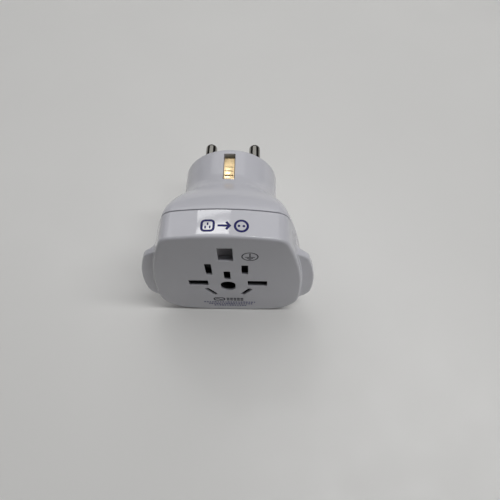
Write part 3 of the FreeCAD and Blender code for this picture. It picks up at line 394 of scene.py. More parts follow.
def combined(first, operation, second):
    base, other = scratch(outward(first)), scratch(outward(second))
    tool = base.modifiers.new("combine", "BOOLEAN")
    tool.operation = operation
    tool.solver = "EXACT"
    tool.object = other
    return applied(base, other)


def finish(name, mesh, look, replaces=()):
    """Turns the mesh into a piece in metres that rides on the housing."""
    bmesh.ops.scale(mesh, vec=(MM, MM, MM), verts=mesh.verts)
    data = mesh_data(mesh, name)
    data.materials.clear()
    data.materials.append(material(look))
    data.shade_smooth()
    data.set_sharp_from_angle(angle=SHARP)
    obj = placed(name, data)
    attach(obj, "housing")
    if replaces:
        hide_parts(*replaces)
    return obj


# Node trees


class Tree:
    """A node tree under way."""

    def __init__(self, tree):
        self.tree = tree

    def add(self, kind, values=None, **settings):
        """A node with its settings. Values go to inputs by name or number, as numbers, sockets or nodes."""
        node = self.tree.nodes.new(kind)
        for key, setting in settings.items():
            setattr(node, key, setting)
        for key, entry in (values or {}).items():
            self.give(node.inputs[key], entry)
        return node

    def give(self, socket, entry):
        """Sets an input, or links it to a socket or a node's first output."""
        if isinstance(entry, bpy.types.Node):
            entry = entry.outputs[0]
        if isinstance(entry, bpy.types.NodeSocket):
            self.tree.links.new(entry, socket)
        else:
            socket.default_value = entry

    def maths(self, operation, *values):
        return self.add("ShaderNodeMath", dict(enumerate(values)), operation=operation)

    def product(self, first, *others):
        for other in others:
            first = self.maths("MULTIPLY", first, other)
        return first


class Growth(Tree):
    """A geometry tree whose inputs are a geometry, named values and a material."""

    def __init__(self, name, **inputs):
        super().__init__(bpy.data.node_groups.new(name, "GeometryNodeTree"))
        interface = self.tree.interface
        interface.new_socket("Geometry", in_out="OUTPUT", socket_type="NodeSocketGeometry")
        for label, kind in {"Geometry": "Geometry", **inputs, "Material": "Material"}.items():
            interface.new_socket(label, in_out="INPUT", socket_type="NodeSocket" + kind)
        self.given = self.add("NodeGroupInput").outputs

    def vector(self, operation, values):
        return self.add("ShaderNodeVectorMath", values, operation=operation)

    def random(self, low, high):
        """A number for each point, drawn by the tree's seed."""
        return self.add("FunctionNodeRandomValue", {2: low, 3: high, "Seed": self.given["Seed"]},
                        data_type="FLOAT").outputs[1]

    def sweep(self, path, radius, sides):
        """A round rod along a curve."""
        profile = self.add("GeometryNodeCurvePrimitiveCircle", {"Resolution": sides, "Radius": radius},
                           mode="RADIUS")
        return self.add("GeometryNodeCurveToMesh",
                        {"Curve": path, "Profile Curve": profile, "Fill Caps": True})

    def copies(self, points, thing, **turned):
        """Ends the tree in a copy of a thing on each point."""
        return self.harvest(self.add("GeometryNodeInstanceOnPoints",
                                     {"Points": points, "Instance": thing, **turned}))

    def harvest(self, geometry):
        """Ends the tree in real faces with their material."""
        real = self.add("GeometryNodeRealizeInstances", {"Geometry": geometry})
        dressed = self.add("GeometryNodeSetMaterial", {"Geometry": real, "Material": self.given["Material"]})
        self.add("NodeGroupOutput", {"Geometry": dressed})
        return self.tree


def grown(mesh, tree, **values):
    """The mesh that a geometry tree makes from this one, its inputs given by name."""
    obj = scratch(mesh)
    tool = obj.modifiers.new("grow", "NODES")
    tool.node_group = tree
    sockets = {item.name.lower().replace(" ", "_"): item.identifier
               for item in tree.interface.items_tree if item.in_out == "INPUT"}
    for name, entry in values.items():
        tool[sockets[name]] = entry
    return applied(obj)


def bell_tree():
    """Draws an outline in towards a circle along the depth: a full shoulder, then a waist."""
    lengths = ("Start", "Length", "First", "Last", "Shoulder", "Waist", "Dive", "Radius", "Blend")
    t = Growth("bell", **dict.fromkeys(lengths, "Float"), Rows="Int")
    given, calc = t.given, t.maths
    size = t.add("GeometryNodeAttributeDomainSize", {"Geometry": given["Geometry"]})
    count = size.outputs["Point Count"]
    columns = calc("ADD", count, 1.0)
    grid = t.add("GeometryNodeMeshGrid", {"Vertices X": given["Rows"], "Vertices Y": columns})
    index = t.add("GeometryNodeInputIndex")
    row = calc("FLOOR", calc("DIVIDE", calc("ADD", index, 0.5), columns))
    column = calc("SUBTRACT", index, calc("MULTIPLY", row, columns))
    outline = t.add("GeometryNodeSampleIndex",
                    {"Geometry": given["Geometry"], "Value": t.add("GeometryNodeInputPosition"),
                     "Index": calc("MODULO", column, count)}, data_type="FLOAT_VECTOR", domain="POINT")
    share = calc("DIVIDE", row, calc("SUBTRACT", given["Rows"], 1.0))
    rest = calc("SUBTRACT", given["Last"], given["First"])
    along = calc("ADD", given["First"], calc("MULTIPLY", share, rest))
    left = calc("SUBTRACT", 1.0, calc("POWER", along, given["Shoulder"]))
    waist = calc("MULTIPLY", calc("POWER", calc("ABSOLUTE", left), given["Waist"]), calc("SIGN", left))
    drawn = calc("MULTIPLY", calc("SUBTRACT", 1.0, waist), given["Dive"])
    reach = t.vector("LENGTH", {0: outline}).outputs["Value"]
    kept = calc("MULTIPLY", reach, calc("SUBTRACT", 1.0, drawn))
    inner = calc("MULTIPLY", given["Radius"], drawn)
    radius = calc("SMOOTH_MAX", calc("ADD", kept, inner), given["Radius"], given["Blend"])
    scaled = t.vector("SCALE", {0: outline, "Scale": calc("DIVIDE", radius, reach)})
    depth = calc("MULTIPLY_ADD", given["Length"], along, given["Start"])
    spot = t.vector("ADD", {0: scaled, 1: t.add("ShaderNodeCombineXYZ", {"Y": depth})})
    moved = t.add("GeometryNodeSetPosition", {"Geometry": grid, "Position": spot})
    return t.harvest(t.add("GeometryNodeMergeByDistance", {"Geometry": moved, "Distance": 0.001}))


def rib_tree():
    """Sweeps a round profile along a path and repeats it at an even step."""
    t = Growth("ribs", Count="Int", Step="Vector", Radius="Float", Sides="Int")
    given = t.given
    path = t.add("GeometryNodeMeshToCurve", {"Mesh": given["Geometry"]})
    line = t.add("GeometryNodeMeshLine", {"Count": given["Count"], "Offset": given["Step"]}, mode="OFFSET")
    return t.copies(line, t.sweep(path, given["Radius"], given["Sides"]))


def spring_tree():
    """Winds a round wire into a coil up from the origin."""
    t = Growth("spring", Radius="Float", Height="Float", Turns="Float", Wire="Float")
    radius = t.given["Radius"]
    coil = t.add("GeometryNodeCurveSpiral",
                 {"Resolution": 32, "Rotations": t.given["Turns"], "Start Radius": radius,
                  "End Radius": radius, "Height": t.given["Height"]})
    return t.harvest(t.sweep(coil, t.given["Wire"], 12))


def set_out_tree():
    """Sets a fitting on each point, each turned about the depth by its own seeded angle."""
    t = Growth("set out", Fitting="Object", Seed="Int")
    fitting = t.add("GeometryNodeObjectInfo", {"Object": t.given["Fitting"]}).outputs["Geometry"]
    spin = t.add("ShaderNodeCombineXYZ", {"Y": t.random(0.0, math.tau)})
    return t.copies(t.given["Geometry"], fitting, Rotation=spin)


def dash_tree():
    """Sets out short printed dashes, each with its own seeded length."""
    t = Growth("dashes", Thickness="Float", Seed="Int")
    dash = t.add("GeometryNodeMeshCube", {"Size": (0.8, 0.08, 1.0)})
    size = t.add("ShaderNodeCombineXYZ", {"X": t.random(0.55, 1.15), "Y": 1.0, "Z": t.given["Thickness"]})
    return t.copies(t.given["Geometry"], dash, Scale=size)


# Finishes


class Finish(Tree):
    """A material under way: its shader, and noises that read the piece's own coordinates in metres."""

    def __init__(self, name, colour, roughness, **sockets):
        self.colour = colour
        self.material = bpy.data.materials.new(name)
        self.material.use_nodes = True
        super().__init__(self.material.node_tree)
        self.tree.nodes.clear()
        self.spot = self.add("ShaderNodeTexCoord").outputs["Object"]
        self.shader = self.add("ShaderNodeBsdfPrincipled",
                               {"Base Color": (*colour, 1.0), "Roughness": roughness,
                                **{key.replace("_", " "): value for key, value in sockets.items()}})
        self.add("ShaderNodeOutputMaterial", {"Surface": self.shader})

    def noise(self, size_mm, stretch=(1.0, 1.0, 1.0), detail=4.0):
        """Noise with blots of about this size, drawn out along each axis."""
        scale = tuple(1.0 / (size_mm * MM * s) for s in stretch)
        mapped = self.add("ShaderNodeMapping", {"Vector": self.spot, "Scale": scale})
        noise = self.add("ShaderNodeTexNoise", {"Vector": mapped, "Scale": 1.0, "Detail": detail})
        return noise.outputs["Fac"]

    def along(self, axis):
        return self.add("ShaderNodeSeparateXYZ", {0: self.spot}).outputs[axis]

    def between(self, value, from0, from1, to0=0.0, to1=1.0):
        return self.add("ShaderNodeMapRange", {"Value": value, 1: from0, 2: from1, 3: to0, 4: to1})

    def patches(self, size_mm, low=0.0, high=1.0, detail=4.0):
        """Soft patches between two levels."""
        return self.between(self.noise(size_mm, detail=detail), 0.3, 0.7, low, high)

    def within(self, value, near, far, full=1.0):
        """Full where a value lies near zero and nothing where it lies far from it."""
        return self.between(self.maths("ABSOLUTE", value), near, far, full, 0.0)

    def blend(self, share, first, second):
        """A mix of two colours, each from a socket or as red, green and blue."""
        first, second = (c if isinstance(c, bpy.types.NodeSocket) else (*c, 1.0) for c in (first, second))
        return self.add("ShaderNodeMix", {0: share, 6: first, 7: second}, data_type="RGBA").outputs[2]

    def mottled(self, share, low, high):
        """The finish's own colour between two shades of it."""
        return self.blend(share, shaded(self.colour, low), shaded(self.colour, high))

    def paint(self, colour, roughness):
        self.give(self.shader.inputs["Base Color"], colour)
        self.give(self.shader.inputs["Roughness"], roughness)
        return self.material

    def bumps(self, *layers):
        """Stacks height fields, each with its height in millimetres, and ends the material."""
        below = {}
        for height, field in layers:
            below = {"Normal": self.add("ShaderNodeBump", {"Height": field, "Strength": 1.0,
                                                           "Distance": height * MM, **below})}
        self.give(self.shader.inputs["Normal"], below["Normal"])
        return self.material


def shaded(colour, share):
    return tuple(min(c * share, 1.0) for c in colour)


def shell_finish(colour):
    """Gloss white: a near mirror on the band, a finer grain and a painted shade on the face, and painted shade on
    the walls in the openings.
    """
    f = Finish("shell_gloss", colour, 0.1, Specular_IOR_Level=0.5)
    x, y, z = (f.along(axis) for axis in "XYZ")
    white = f.mottled(f.patches(14.0, detail=3.0), 0.97, 1.02)
    face = f.between(y, -0.04575, -0.0455, 1.0, 0.0)
    # Painted shade: the socket face is blended halfway towards a darker white.
    white = f.blend(f.product(face, 0.5), white, shaded(colour, 0.82))
    # Painted shade: the walls of the openings, from half a millimetre to about three behind the face, go nearly
    # black, and the tall opening's walls go partly dark.
    deep = f.between(y, -0.0453, -0.0448)
    low = f.product(deep, f.within(x, 0.0160, 0.0165), f.within(f.maths("ADD", z, 0.0010), 0.0143, 0.0147),
                    f.between(y, -0.0430, -0.0420, 1.0, 0.0))
    off = f.maths("MAXIMUM", f.maths("ABSOLUTE", f.maths("SUBTRACT", z, 0.0186)), f.maths("ADD", y, 0.0470))
    tall = f.product(deep, f.within(x, 0.0027, 0.0030, 0.4), f.within(off, 0.0044, 0.0048))
    rear = f.between(y, -0.0355, -0.0350)
    matt = f.maths("ADD", f.product(face, 0.22), f.product(rear, 0.12))
    f.paint(f.blend(f.maths("MAXIMUM", low, tall), white, shaded(colour, 0.05)),
            f.maths("ADD", f.between(f.noise(5.0), 0.25, 0.75, 0.02, 0.045), matt))
    return f.bumps((0.0035, f.noise(2.2, detail=2.0)), (0.0012, f.noise(0.22, detail=1.0)))


def shutter_finish(colour):
    """Satin plastic, grey on the ramp and nearly black on the flat plate, a painted shade behind the openings."""
    f = Finish("shutter_satin", colour, 0.45, Specular_IOR_Level=0.3)
    ramp = f.product(f.between(f.along("Z"), 0.0125, 0.0132), f.within(f.along("X"), 0.0028, 0.0032))
    grey = f.mottled(f.noise(3.0), 0.9, 1.15)
    # Painted shade: all of the shutter but the ramp is darkened to near black.
    f.paint(f.blend(ramp, shaded(colour, 0.03), grey), f.patches(0.8, 0.38, 0.52))
    return f.bumps((0.006, f.noise(0.25, detail=2.0)))


def black_finish(colour):
    f = Finish("insulator_matt", colour, 0.6)
    f.paint(f.mottled(f.noise(2.0), 0.7, 1.5), f.patches(0.7, 0.52, 0.7))
    return f.bumps((0.01, f.noise(0.3, detail=2.0)))


def metal(name, colour, low, high, grain, stretch, bump):
    """A metal with grain drawn out one way and a patchy gloss, and the grain's bump layer."""
    f = Finish(name, colour, low, Metallic=1.0)
    streaks = f.noise(grain, stretch)
    f.paint(f.mottled(f.patches(4.0), 0.86, 1.0), f.between(streaks, 0.3, 0.7, low, high))
    return f, (bump, streaks)


def metal_finish(*given):
    f, layer = metal(*given)
    return f.bumps(layer)


def clip_finish(colour, tarnish):
    """Polished brass, dull and greenish towards the rear end, where it hooks in."""
    f, layer = metal("clip_brass", colour, 0.16, 0.28, 0.1, (1.0, 14.0, 1.0), 0.001)
    patch = f.noise(1.1, detail=5.0)
    # Dull greenish towards the rear end, where the strip hooks down into the barrel.
    end = f.between(f.along("Y"), -0.0043, -0.0037)
    share = f.maths("MAXIMUM", f.between(patch, 0.45, 0.8, 0.0, 0.3), f.product(end, 0.8))
    f.give(f.shader.inputs["Base Color"], f.blend(share, colour, tarnish))
    return f.bumps(layer, (0.004, patch))


def ink_finish(name, colour):
    """Print that varies a little in how thickly it lies."""
    f = Finish(name, colour, 0.35, Specular_IOR_Level=0.25)
    return f.paint(f.mottled(f.between(f.noise(0.5), 0.35, 0.7), 1.0, 1.6), f.patches(0.4, 0.28, 0.45))


def table_finish(colour):
    """A smooth pale board with the faintest cloudiness."""
    f = Finish("table_top", colour, 0.5)
    f.paint(f.mottled(f.patches(90.0, detail=2.0), 0.985, 1.01), f.patches(12.0, 0.45, 0.6))
    return f.bumps((0.01, f.noise(1.0)))


MATERIALS = {}


def material(name):
    """The finish of a slot, made on its first use."""
    c = bpy.context.scene.adapter_colours
    makers = {
        "shell": (shell_finish, c.shell),
        "dark_plastic": (shutter_finish, c.shutter),
        "black_plastic": (black_finish, c.black),
        "contact_brass": (metal_finish, "contact_brass", c.brass, 0.28, 0.42, 0.12, (1.0, 12.0, 1.0), 0.004),
        "clip_brass": (clip_finish, c.clip, c.tarnish),
        "nickel": (metal_finish, "pin_nickel", c.nickel, 0.07, 0.15, 0.08, (60.0, 1.0, 60.0), 0.0015),
        "steel": (metal_finish, "zinc_steel", c.steel, 0.3, 0.45, 0.15, (1.0, 1.0, 1.0), 0.003),
        "ink": (ink_finish, "band_ink", c.ink),
        "ink_grey": (ink_finish, "face_ink", c.grey_ink),
        "faint_ink": (ink_finish, "fine_ink", c.faint_ink),
        "table": (table_finish, c.table)}
    if name not in MATERIALS:
        maker, *given = makers[name]
        MATERIALS[name] = maker(*given)
    return MATERIALS[name]


# The shells

# How full the bell's shoulder is, how slim its waist, and how near it comes to the barrel
SHOULDER, WAIST, DIVE = 1.7, 1.2, 0.98
# How widely the bell blends into the barrel outside and inside, and how far along the blend runs out
SOFT, CRISP = 5.0, 0.3
RUN_OUT = 1.32
OUTER_ROWS, INNER_ROWS = 66, 30
# Where the case screws, the pins and the holder's screws stand
SCREW_X, SCREW_Z, SCREW_SEAT = 17.5, -21.0, 15.5
PIN_X, HOLDER_X = 9.5, 2.6
# The height from which the grips swell out, and how widely they blend into the band
HUB, GRIP_BLEND = -5.0, 3.0


def soft_max(a, b, blend):
    """The larger of two numbers, rounded where they are close, as the smooth maximum node has it."""
    near = max(blend - abs(a - b), 0.0) / blend
    return max(a, b) + near**3 * blend / 6


def bell_ring(s, inset, radius, blend, along):
    """One ring of the bell, by the same rule as its tree."""
    left = 1 - along**SHOULDER
    drawn = (1 - math.copysign(abs(left) ** WAIST, left)) * DIVE
    points = []
    for x, z in face_outline(s, inset):
        reach = math.hypot(x, z)
        share = soft_max(reach * (1 - drawn) + radius * drawn, radius, blend) / reach
        points.append((x * share, z * share))
    return points


def bell_span(s):
    start = s.seam_depth + s.seam_gap / 2
    return start - s.body_length, s.body_length - s.barrel_length - start


def bell_skin(s, tree, inset, radius, blend, first, last, rows):
    mesh = bmesh.new()
    for x, z in face_outline(s, inset):
        mesh.verts.new((x, 0.0, z))
    start, reach = bell_span(s)
    return grown(mesh, tree, start=start, length=reach, first=first, last=last, shoulder=SHOULDER,
                 waist=WAIST, dive=DIVE, radius=radius, blend=blend, rows=rows, material=material("shell"))


def join(mesh, other):
    """Adds another mesh's faces to this one."""
    data = mesh_data(other, "joined")
    mesh.from_mesh(data)
    bpy.data.meshes.remove(data)


def barrel_circle(s, radius):
    return [(radius * x / math.hypot(x, z), radius * z / math.hypot(x, z)) for x, z in face_outline(s)]


def rear_cup(s):
    """The bell and the barrel as one closed wall."""
    start, reach = bell_span(s)
    edge, lap, tongue_end = 0.12, 0.85, 1.85
    inner = s.barrel_radius - 2.2
    first, first_in = edge / reach, tongue_end / reach
    tree = bell_tree()
    mesh = bell_skin(s, tree, 0.0, s.barrel_radius, SOFT, first, RUN_OUT, OUTER_ROWS)
    join(mesh, bell_skin(s, tree, s.wall, inner, CRISP, first_in, 1.0, INNER_ROWS))
    stack(mesh, [(bell_ring(s, s.wall, inner, CRISP, first_in), start + tongue_end),
                 (face_outline(s, lap), start + tongue_end), (face_outline(s, lap), start),
                 (face_outline(s, edge), start),
                 (bell_ring(s, 0.0, s.barrel_radius, SOFT, first), start + edge)])
    bell_end = start + reach * RUN_OUT
    rim = [(s.barrel_radius, bell_end + 0.4), (s.barrel_radius, -s.barrel_rim - 0.3)]
    rim += [(s.barrel_radius - s.barrel_rim * less, -s.barrel_rim * back) for less, back in rounding(6)]
    rim.append((s.barrel_radius - s.barrel_rim - 0.3, 0.0))
    outer = stack(mesh, [(bell_ring(s, 0.0, s.barrel_radius, SOFT, RUN_OUT), bell_end)]
                  + [(barrel_circle(s, radius), y) for radius, y in rim])
    mesh.faces.new(outer[-1])
    hollow = stack(mesh, [(bell_ring(s, s.wall, inner, CRISP, 1.0), start + reach),
                          (barrel_circle(s, inner), -2.5)])
    mesh.faces.new(hollow[-1])
    bmesh.ops.remove_doubles(mesh, verts=mesh.verts, dist=0.002)
    return outward(mesh)


def rear_inside(s):
    """The posts, ribs and ledges inside the rear shell, cut to end within its wall."""
    start, reach = bell_span(s)
    body, steps = s.body_length, 14
    core = bmesh.new()
    rings = stack(core, [(bell_ring(s, s.wall / 2, s.barrel_radius - 1.1, CRISP, i / steps),
                          start + reach * i / steps) for i in range(steps + 1)])
    fill(core, rings[0])
    fill(core, rings[-1])
    added = bmesh.new()
    for side in (-1, 1):
        lathe(added, side * SCREW_X, SCREW_Z, [(3.8, 11.4 - body), (3.8, 28.0 - body)])
        slab(added, (side * 14.0, 20.4 - body, -14.0), (side * 15.4, 28.0 - body, 7.0))
    trimmed = combined(core, "INTERSECT", added)
    for side in (-1, 1):
        lathe(trimmed, side * HOLDER_X, 0.0, [(2.3, -4.5), (2.3, -1.25)])
        slab(trimmed, (-3.2, -13.6, side * 15.5), (3.2, -1.25, side * 17.1))
    return trimmed


def rear_cutters(s):
    """The wells, holes, side grooves and clip recesses of the rear shell."""
    tools = bmesh.new()
    body, barrel, seat = s.body_length, s.barrel_radius, SCREW_SEAT - s.body_length
    top, bed, foot, hook = barrel + 1.8, barrel - 1.4, 10.0, barrel - 2.9
    recess = [(-15.0, top), (-15.0, foot), (-13.8, foot), (-13.8, bed), (-3.4, bed), (-3.4, hook),
              (-2.2, hook), (-2.2, top)]
    for side in (-1, 1):
        lathe(tools, side * SCREW_X, SCREW_Z,
              [(1.8, 11.0 - body), (1.8, seat), (3.0, seat), (3.0, 32.1 - body)])
        lathe(tools, side * PIN_X, 0.0, [(2.75, -3.5), (2.75, -0.25), (2.95, 0.02), (2.95, 1.0)])
        lathe(tools, side * HOLDER_X, 0.0, [(1.05, -5.5), (1.05, -0.83)])
        slab(tools, (side * (barrel - 1.2), -9.8, -2.6), (side * top, 1.0, 2.6))
        prism_x(tools, [(y, side * z) for y, z in recess], 2.15)
    return tools


def grip_reach(s, narrow):
    """How far the grips' outline lies from the hub, by angle, as a sorted table."""
    table = sorted((math.atan2(z - HUB, x), math.hypot(x, z - HUB)) for x, z in grip_outline(s, narrow))
    first, last = table[0], table[-1]
    return [(last[0] - math.tau, last[1])] + table + [(first[0] + math.tau, first[1])]


def looked_up(table, angle):
    high = bisect(table, (angle, math.inf))
    (a0, r0), (a1, r1) = table[high - 1], table[high]
    return r0 + (r1 - r0) * (angle - a0) / (a1 - a0)


def grip_swell(s, narrow):
    """How far the grips stand out of the band at each point of its outline, with a soft root."""
    table = grip_reach(s, narrow)
    return [soft_max(looked_up(table, math.atan2(z - HUB, x)) - math.hypot(x, z - HUB), 0.0, GRIP_BLEND)
            for x, z in face_outline(s)]


def swollen(s, swell):
    """The band's outline moved out from the hub, point by point."""
    points = []
    for (x, z), more in zip(face_outline(s), swell):
        share = 1 + more / math.hypot(x, z - HUB)
        points.append((x * share, (z - HUB) * share + HUB))
    return points


def grip_rows(s):
    """The rings of the band round the grips: a cove, a front, a rounded rim, a side and a hollow back."""
    full = grip_swell(s, 0.0)
    coves = [min(0.5, 0.4 * p) for p in full]
    rounds = [min(0.7, 0.5 * p) for p in full]
    rows = []
    for out, up in rounding(4):
        swell = [cove * out for cove in coves]
        rows.append((swollen(s, swell), s.grip_setback - 0.5 * up - 0.01))
    for back, less in rounding(6):
        swell = [p - q * less for p, q in zip(full, rounds)]
        rows.append((swollen(s, swell), s.grip_setback + 0.6 * back + 0.01))
    full_end = s.grip_setback + s.grip_thick
    reach = s.grip_half_width - s.face_half_width + GRIP_BLEND
    for along in spread(0.0, 1.0, 14):
        narrow = reach * (1 - (1 - along) ** 1.35)
        rows.append((swollen(s, grip_swell(s, narrow)), full_end + (s.grip_root - full_end) * along))
    return rows


def front_shell_mesh(s):
    """The face, the band with its grips, the tongue and the inside, as one closed wall."""
    mesh = bmesh.new()
    body, edge, end = s.body_length, s.face_edge, s.seam_depth - s.seam_gap / 2
    rows = [(face_outline(s, edge + 0.15), 0.0)]
    rows += [(face_outline(s, edge * inset), edge * depth) for depth, inset in rounding(6)]
    rows += [(face_outline(s), edge + 0.3), *grip_rows(s)]
    rows += [(face_outline(s, inset), depth) for inset, depth in (
        (0.0, end - 0.12), (0.12, end), (0.95, end), (0.95, end + 1.75), (s.wall, end + 1.75),
        (s.wall, s.face_wall))]
    rings = stack(mesh, [(points, depth - body) for points, depth in rows])
    levels = ((s.slot_edge, 0.0), (0.0, s.slot_edge), (0.0, s.face_wall))
    slots = [[ring(mesh, loop, depth - body) for loop in openings(grow)] for grow, depth in levels]
    for walls in zip(*slots):
        skin(mesh, walls)
    bosses = []
    shape = [(3.2, s.face_wall), (3.2, 11.3), (3.1, 11.4), (1.65, 11.4), (1.55, 11.3), (1.55, 3.75)]
    for side in (-1, 1):
        boss = stack(mesh, [(circle(side * SCREW_X, SCREW_Z, radius), depth - body)
                            for radius, depth in shape])
        mesh.faces.new(boss[-1])
        bosses.append(boss[0])
    fill(mesh, rings[0], slots[0])
    fill(mesh, rings[-1], slots[-1] + bosses)
    return outward(mesh)


def flank_ribs(s, count):
    """Fine ribs that follow the band's right flank."""
    outline = [(x, z) for x, z in face_outline(s, 0.04) if x > 15.0 and 15.5 < z < 22.0]
    mesh, first = bmesh.new(), -42.2
    verts = ring(mesh, outline, first)
    for a, b in zip(verts, verts[1:]):
        mesh.edges.new((a, b))
    return grown(mesh, rib_tree(), count=count, step=(0.0, 1.5, 0.0), radius=0.14, sides=8,
                 material=material("shell"))


# Printed signs


# How high the print stands and how deep it reaches
RAISED, SUNK = 0.02, -0.06


def stroke(mesh, path, width, spot, closed=False):
    """A printed line: a closed ribbon along a flat path, laid on a surface by spot(u, v, height)."""
    count = len(path)
    rows = []
    for i, (u, v) in enumerate(path):
        before = path[i - 1] if closed or i else path[i]
        after = path[(i + 1) % count] if closed or i < count - 1 else path[i]
        du, dv = after[0] - before[0], after[1] - before[1]
        size = math.hypot(du, dv)
        nu, nv = -dv / size * width / 2, du / size * width / 2
        corners = ((1, RAISED), (-1, RAISED), (-1, SUNK), (1, SUNK))
        rows.append([mesh.verts.new(spot(u + side * nu, v + side * nv, h)) for side, h in corners])
    skin(mesh, rows + rows[:1] if closed else rows)
    if not closed:
        cap(mesh, rows[0], rows[-1])


def blot(mesh, loop, spot):
    """A filled printed shape from its outline."""
    rows = [[mesh.verts.new(spot(u, v, h)) for u, v in loop] for h in (RAISED, SUNK)]
    skin(mesh, rows)
    cap(mesh, *rows)


def straight(u0, v0, u1, v1, steps=6):
    return list(zip(spread(u0, u1, steps), spread(v0, v1, steps)))


def band_signs(s, width):
    """Signs on top of the band: a socket, an arrow and a round plug's two pins."""
    mesh = bmesh.new()

    def spot(u, v, height):
        return (u, v, s.face_top - TOP_ARC + math.sqrt(TOP_ARC * TOP_ARC - u * u) + height)

    middle, socket, plug = -41.6, -4.9, 5.4
    stroke(mesh, rounded_block(socket, middle, 3.7, 3.7, 1.0, steps=5), width, spot, closed=True)
    for u, rise in ((socket, 0.65), (-5.6, -0.55), (-4.2, -0.55)):
        blot(mesh, rounded_block(u, middle + rise, 0.5, 1.0, 0.1, steps=2), spot)
    stroke(mesh, straight(-1.9, middle, 1.5, middle), width, spot)
    arrow = ((0.75, 1.35), (1.25, 0.7), (1.95, 0.0), (1.25, -0.7), (0.75, -1.35))
    stroke(mesh, [(u, middle + rise) for u, rise in arrow], width, spot)
    stroke(mesh, circle(plug, middle, 1.95), width, spot, closed=True)
    for u in (4.65, 6.15):
        blot(mesh, circle(u, middle, 0.42, 20), spot)
    return mesh


def face_signs(s):
    """The earth sign in its circle, and a row of small signs under the openings."""
    mesh = bmesh.new()

    def spot(u, v, height):
        return (u, -s.body_length - height, v)

    u, v, thin = 8.1, 17.6, 0.42
    stroke(mesh, circle(u, v, 2.6), thin, spot, closed=True)
    stroke(mesh, straight(u, v + 2.1, u, v - 0.2), thin, spot)
    for drop, half in ((0.35, 1.6), (1.1, 1.05), (1.8, 0.5)):
        stroke(mesh, straight(u - half, v - drop, u + half, v - drop), thin, spot)
    v = -19.0
    stroke(mesh, rounded_block(-4.1, v, 4.1, 2.7, 1.0), 0.7, spot, closed=True)
    wave = [(-5.4 + 2.6 * i / 16, v + 0.5 * math.sin(math.tau * i / 16)) for i in range(17)]
    stroke(mesh, wave, 0.5, spot)
    for u in (-0.6, 0.8, 2.2, 3.6, 5.0):
        for rise in (0.8, -0.85):
            blot(mesh, rounded_block(u, v + rise, 1.15, 1.25, 0.1, steps=2), spot)
    return mesh


def fine_print(s, thickness):
    """Three rows of dashes low on the face, as points for the dash tree."""
    points, pitch = bmesh.new(), 1.05
    for z, left, right in ((-22.1, -10.2, 10.2), (-23.9, -8.4, 9.0), (-25.7, -6.2, 6.4)):
        row = spread(left, right, round((right - left) / pitch))
        ring(points, [(x, z) for x in row], -s.body_length)
    return grown(points, dash_tree(), thickness=thickness, seed=7, material=material("faint_ink"))


# Metal fittings


def pin_mesh(s, x):
    """A round pin with a rounded tip, a shoulder at the end face and a collar inside."""
    mesh = bmesh.new()
    tip, radius, nose = s.pin_length, s.pin_radius, s.pin_tip
    profile = [(1.05, -7.5), (2.7, -7.5), (2.7, -4.5), (3.5, -4.5), (3.5, -2.5), (2.7, -2.5), (2.7, -0.12),
               (2.62, 0.0), (radius, 0.0)]
    profile += [(radius - nose * less, tip - nose * back) for less, back in rounding(10)]
    profile.append((0.2, tip))
    rings = [ring(mesh, circle(x, 0.0, r, 72), y) for r, y in profile]
    bore = [ring(mesh, circle(x, 0.0, 1.05, 72), -2.5)]
    skin(mesh, bore + rings)
    cap(mesh, rings[-1], bore[0])
    return outward(mesh)


def clip_path(s, side):
    """The clip's outline from the side, as (y, z): a foot, a rounded bend, the contact and the hook."""
    strip, bow = 0.8, 0.3
    top = s.barrel_radius - 0.6
    front, rear = -14.8, -2.4
    foot, hook = 10.0, top - strip - 1.3
    near, far = 1.5, 1.9
    turns = quarter(8)
    lines = []
    for sink in (0.0, strip):
        line = [(front + near - (near - sink) * math.cos(t), top - near + (near - sink) * math.sin(t))
                for t in turns]
        if not sink:
            y0, y1 = front + near, rear - far
            line += [(y0 + (y1 - y0) * i / 12, top + bow * math.sin(math.pi * i / 12)) for i in range(1, 12)]
        line += [(rear - far + (far - sink) * math.sin(t), top - far + (far - sink) * math.cos(t))
                 for t in turns]
        lines.append([(front + sink, foot)] + line + [(rear - sink, hook)])
    return [(y, side * z) for y, z in lines[0] + lines[1][::-1]]


def clip_mesh(s, side, ridges):
    """A bent brass strip with softened edges and ridges across it."""
    mesh = bmesh.new()
    prism_x(mesh, clip_path(s, side), s.clip_half_width)
    hole = bmesh.new()
    lathe(hole, 0.0, side * 12.6, [(0.95, -17.0), (0.95, -13.0)], 32)
    strip = scratch(combined(mesh, "DIFFERENCE", hole))
    bevel = strip.modifiers.new("soften", "BEVEL")
    bevel.width = 0.12
    bevel.segments = 2
    bevel.limit_method = "ANGLE"
    bevel.angle_limit = math.radians(50.0)
    whole = applied(strip)
    path = bmesh.new()
    half = s.clip_half_width - 0.35
    verts = [path.verts.new((x, -12.2, side * (s.barrel_radius - 0.5))) for x in (-half, half)]
    path.edges.new(verts)
    join(whole, grown(path, rib_tree(), count=ridges, step=(0.0, 1.9, 0.0), radius=s.clip_ridge, sides=16,
                      material=material("clip_brass")))
    return whole


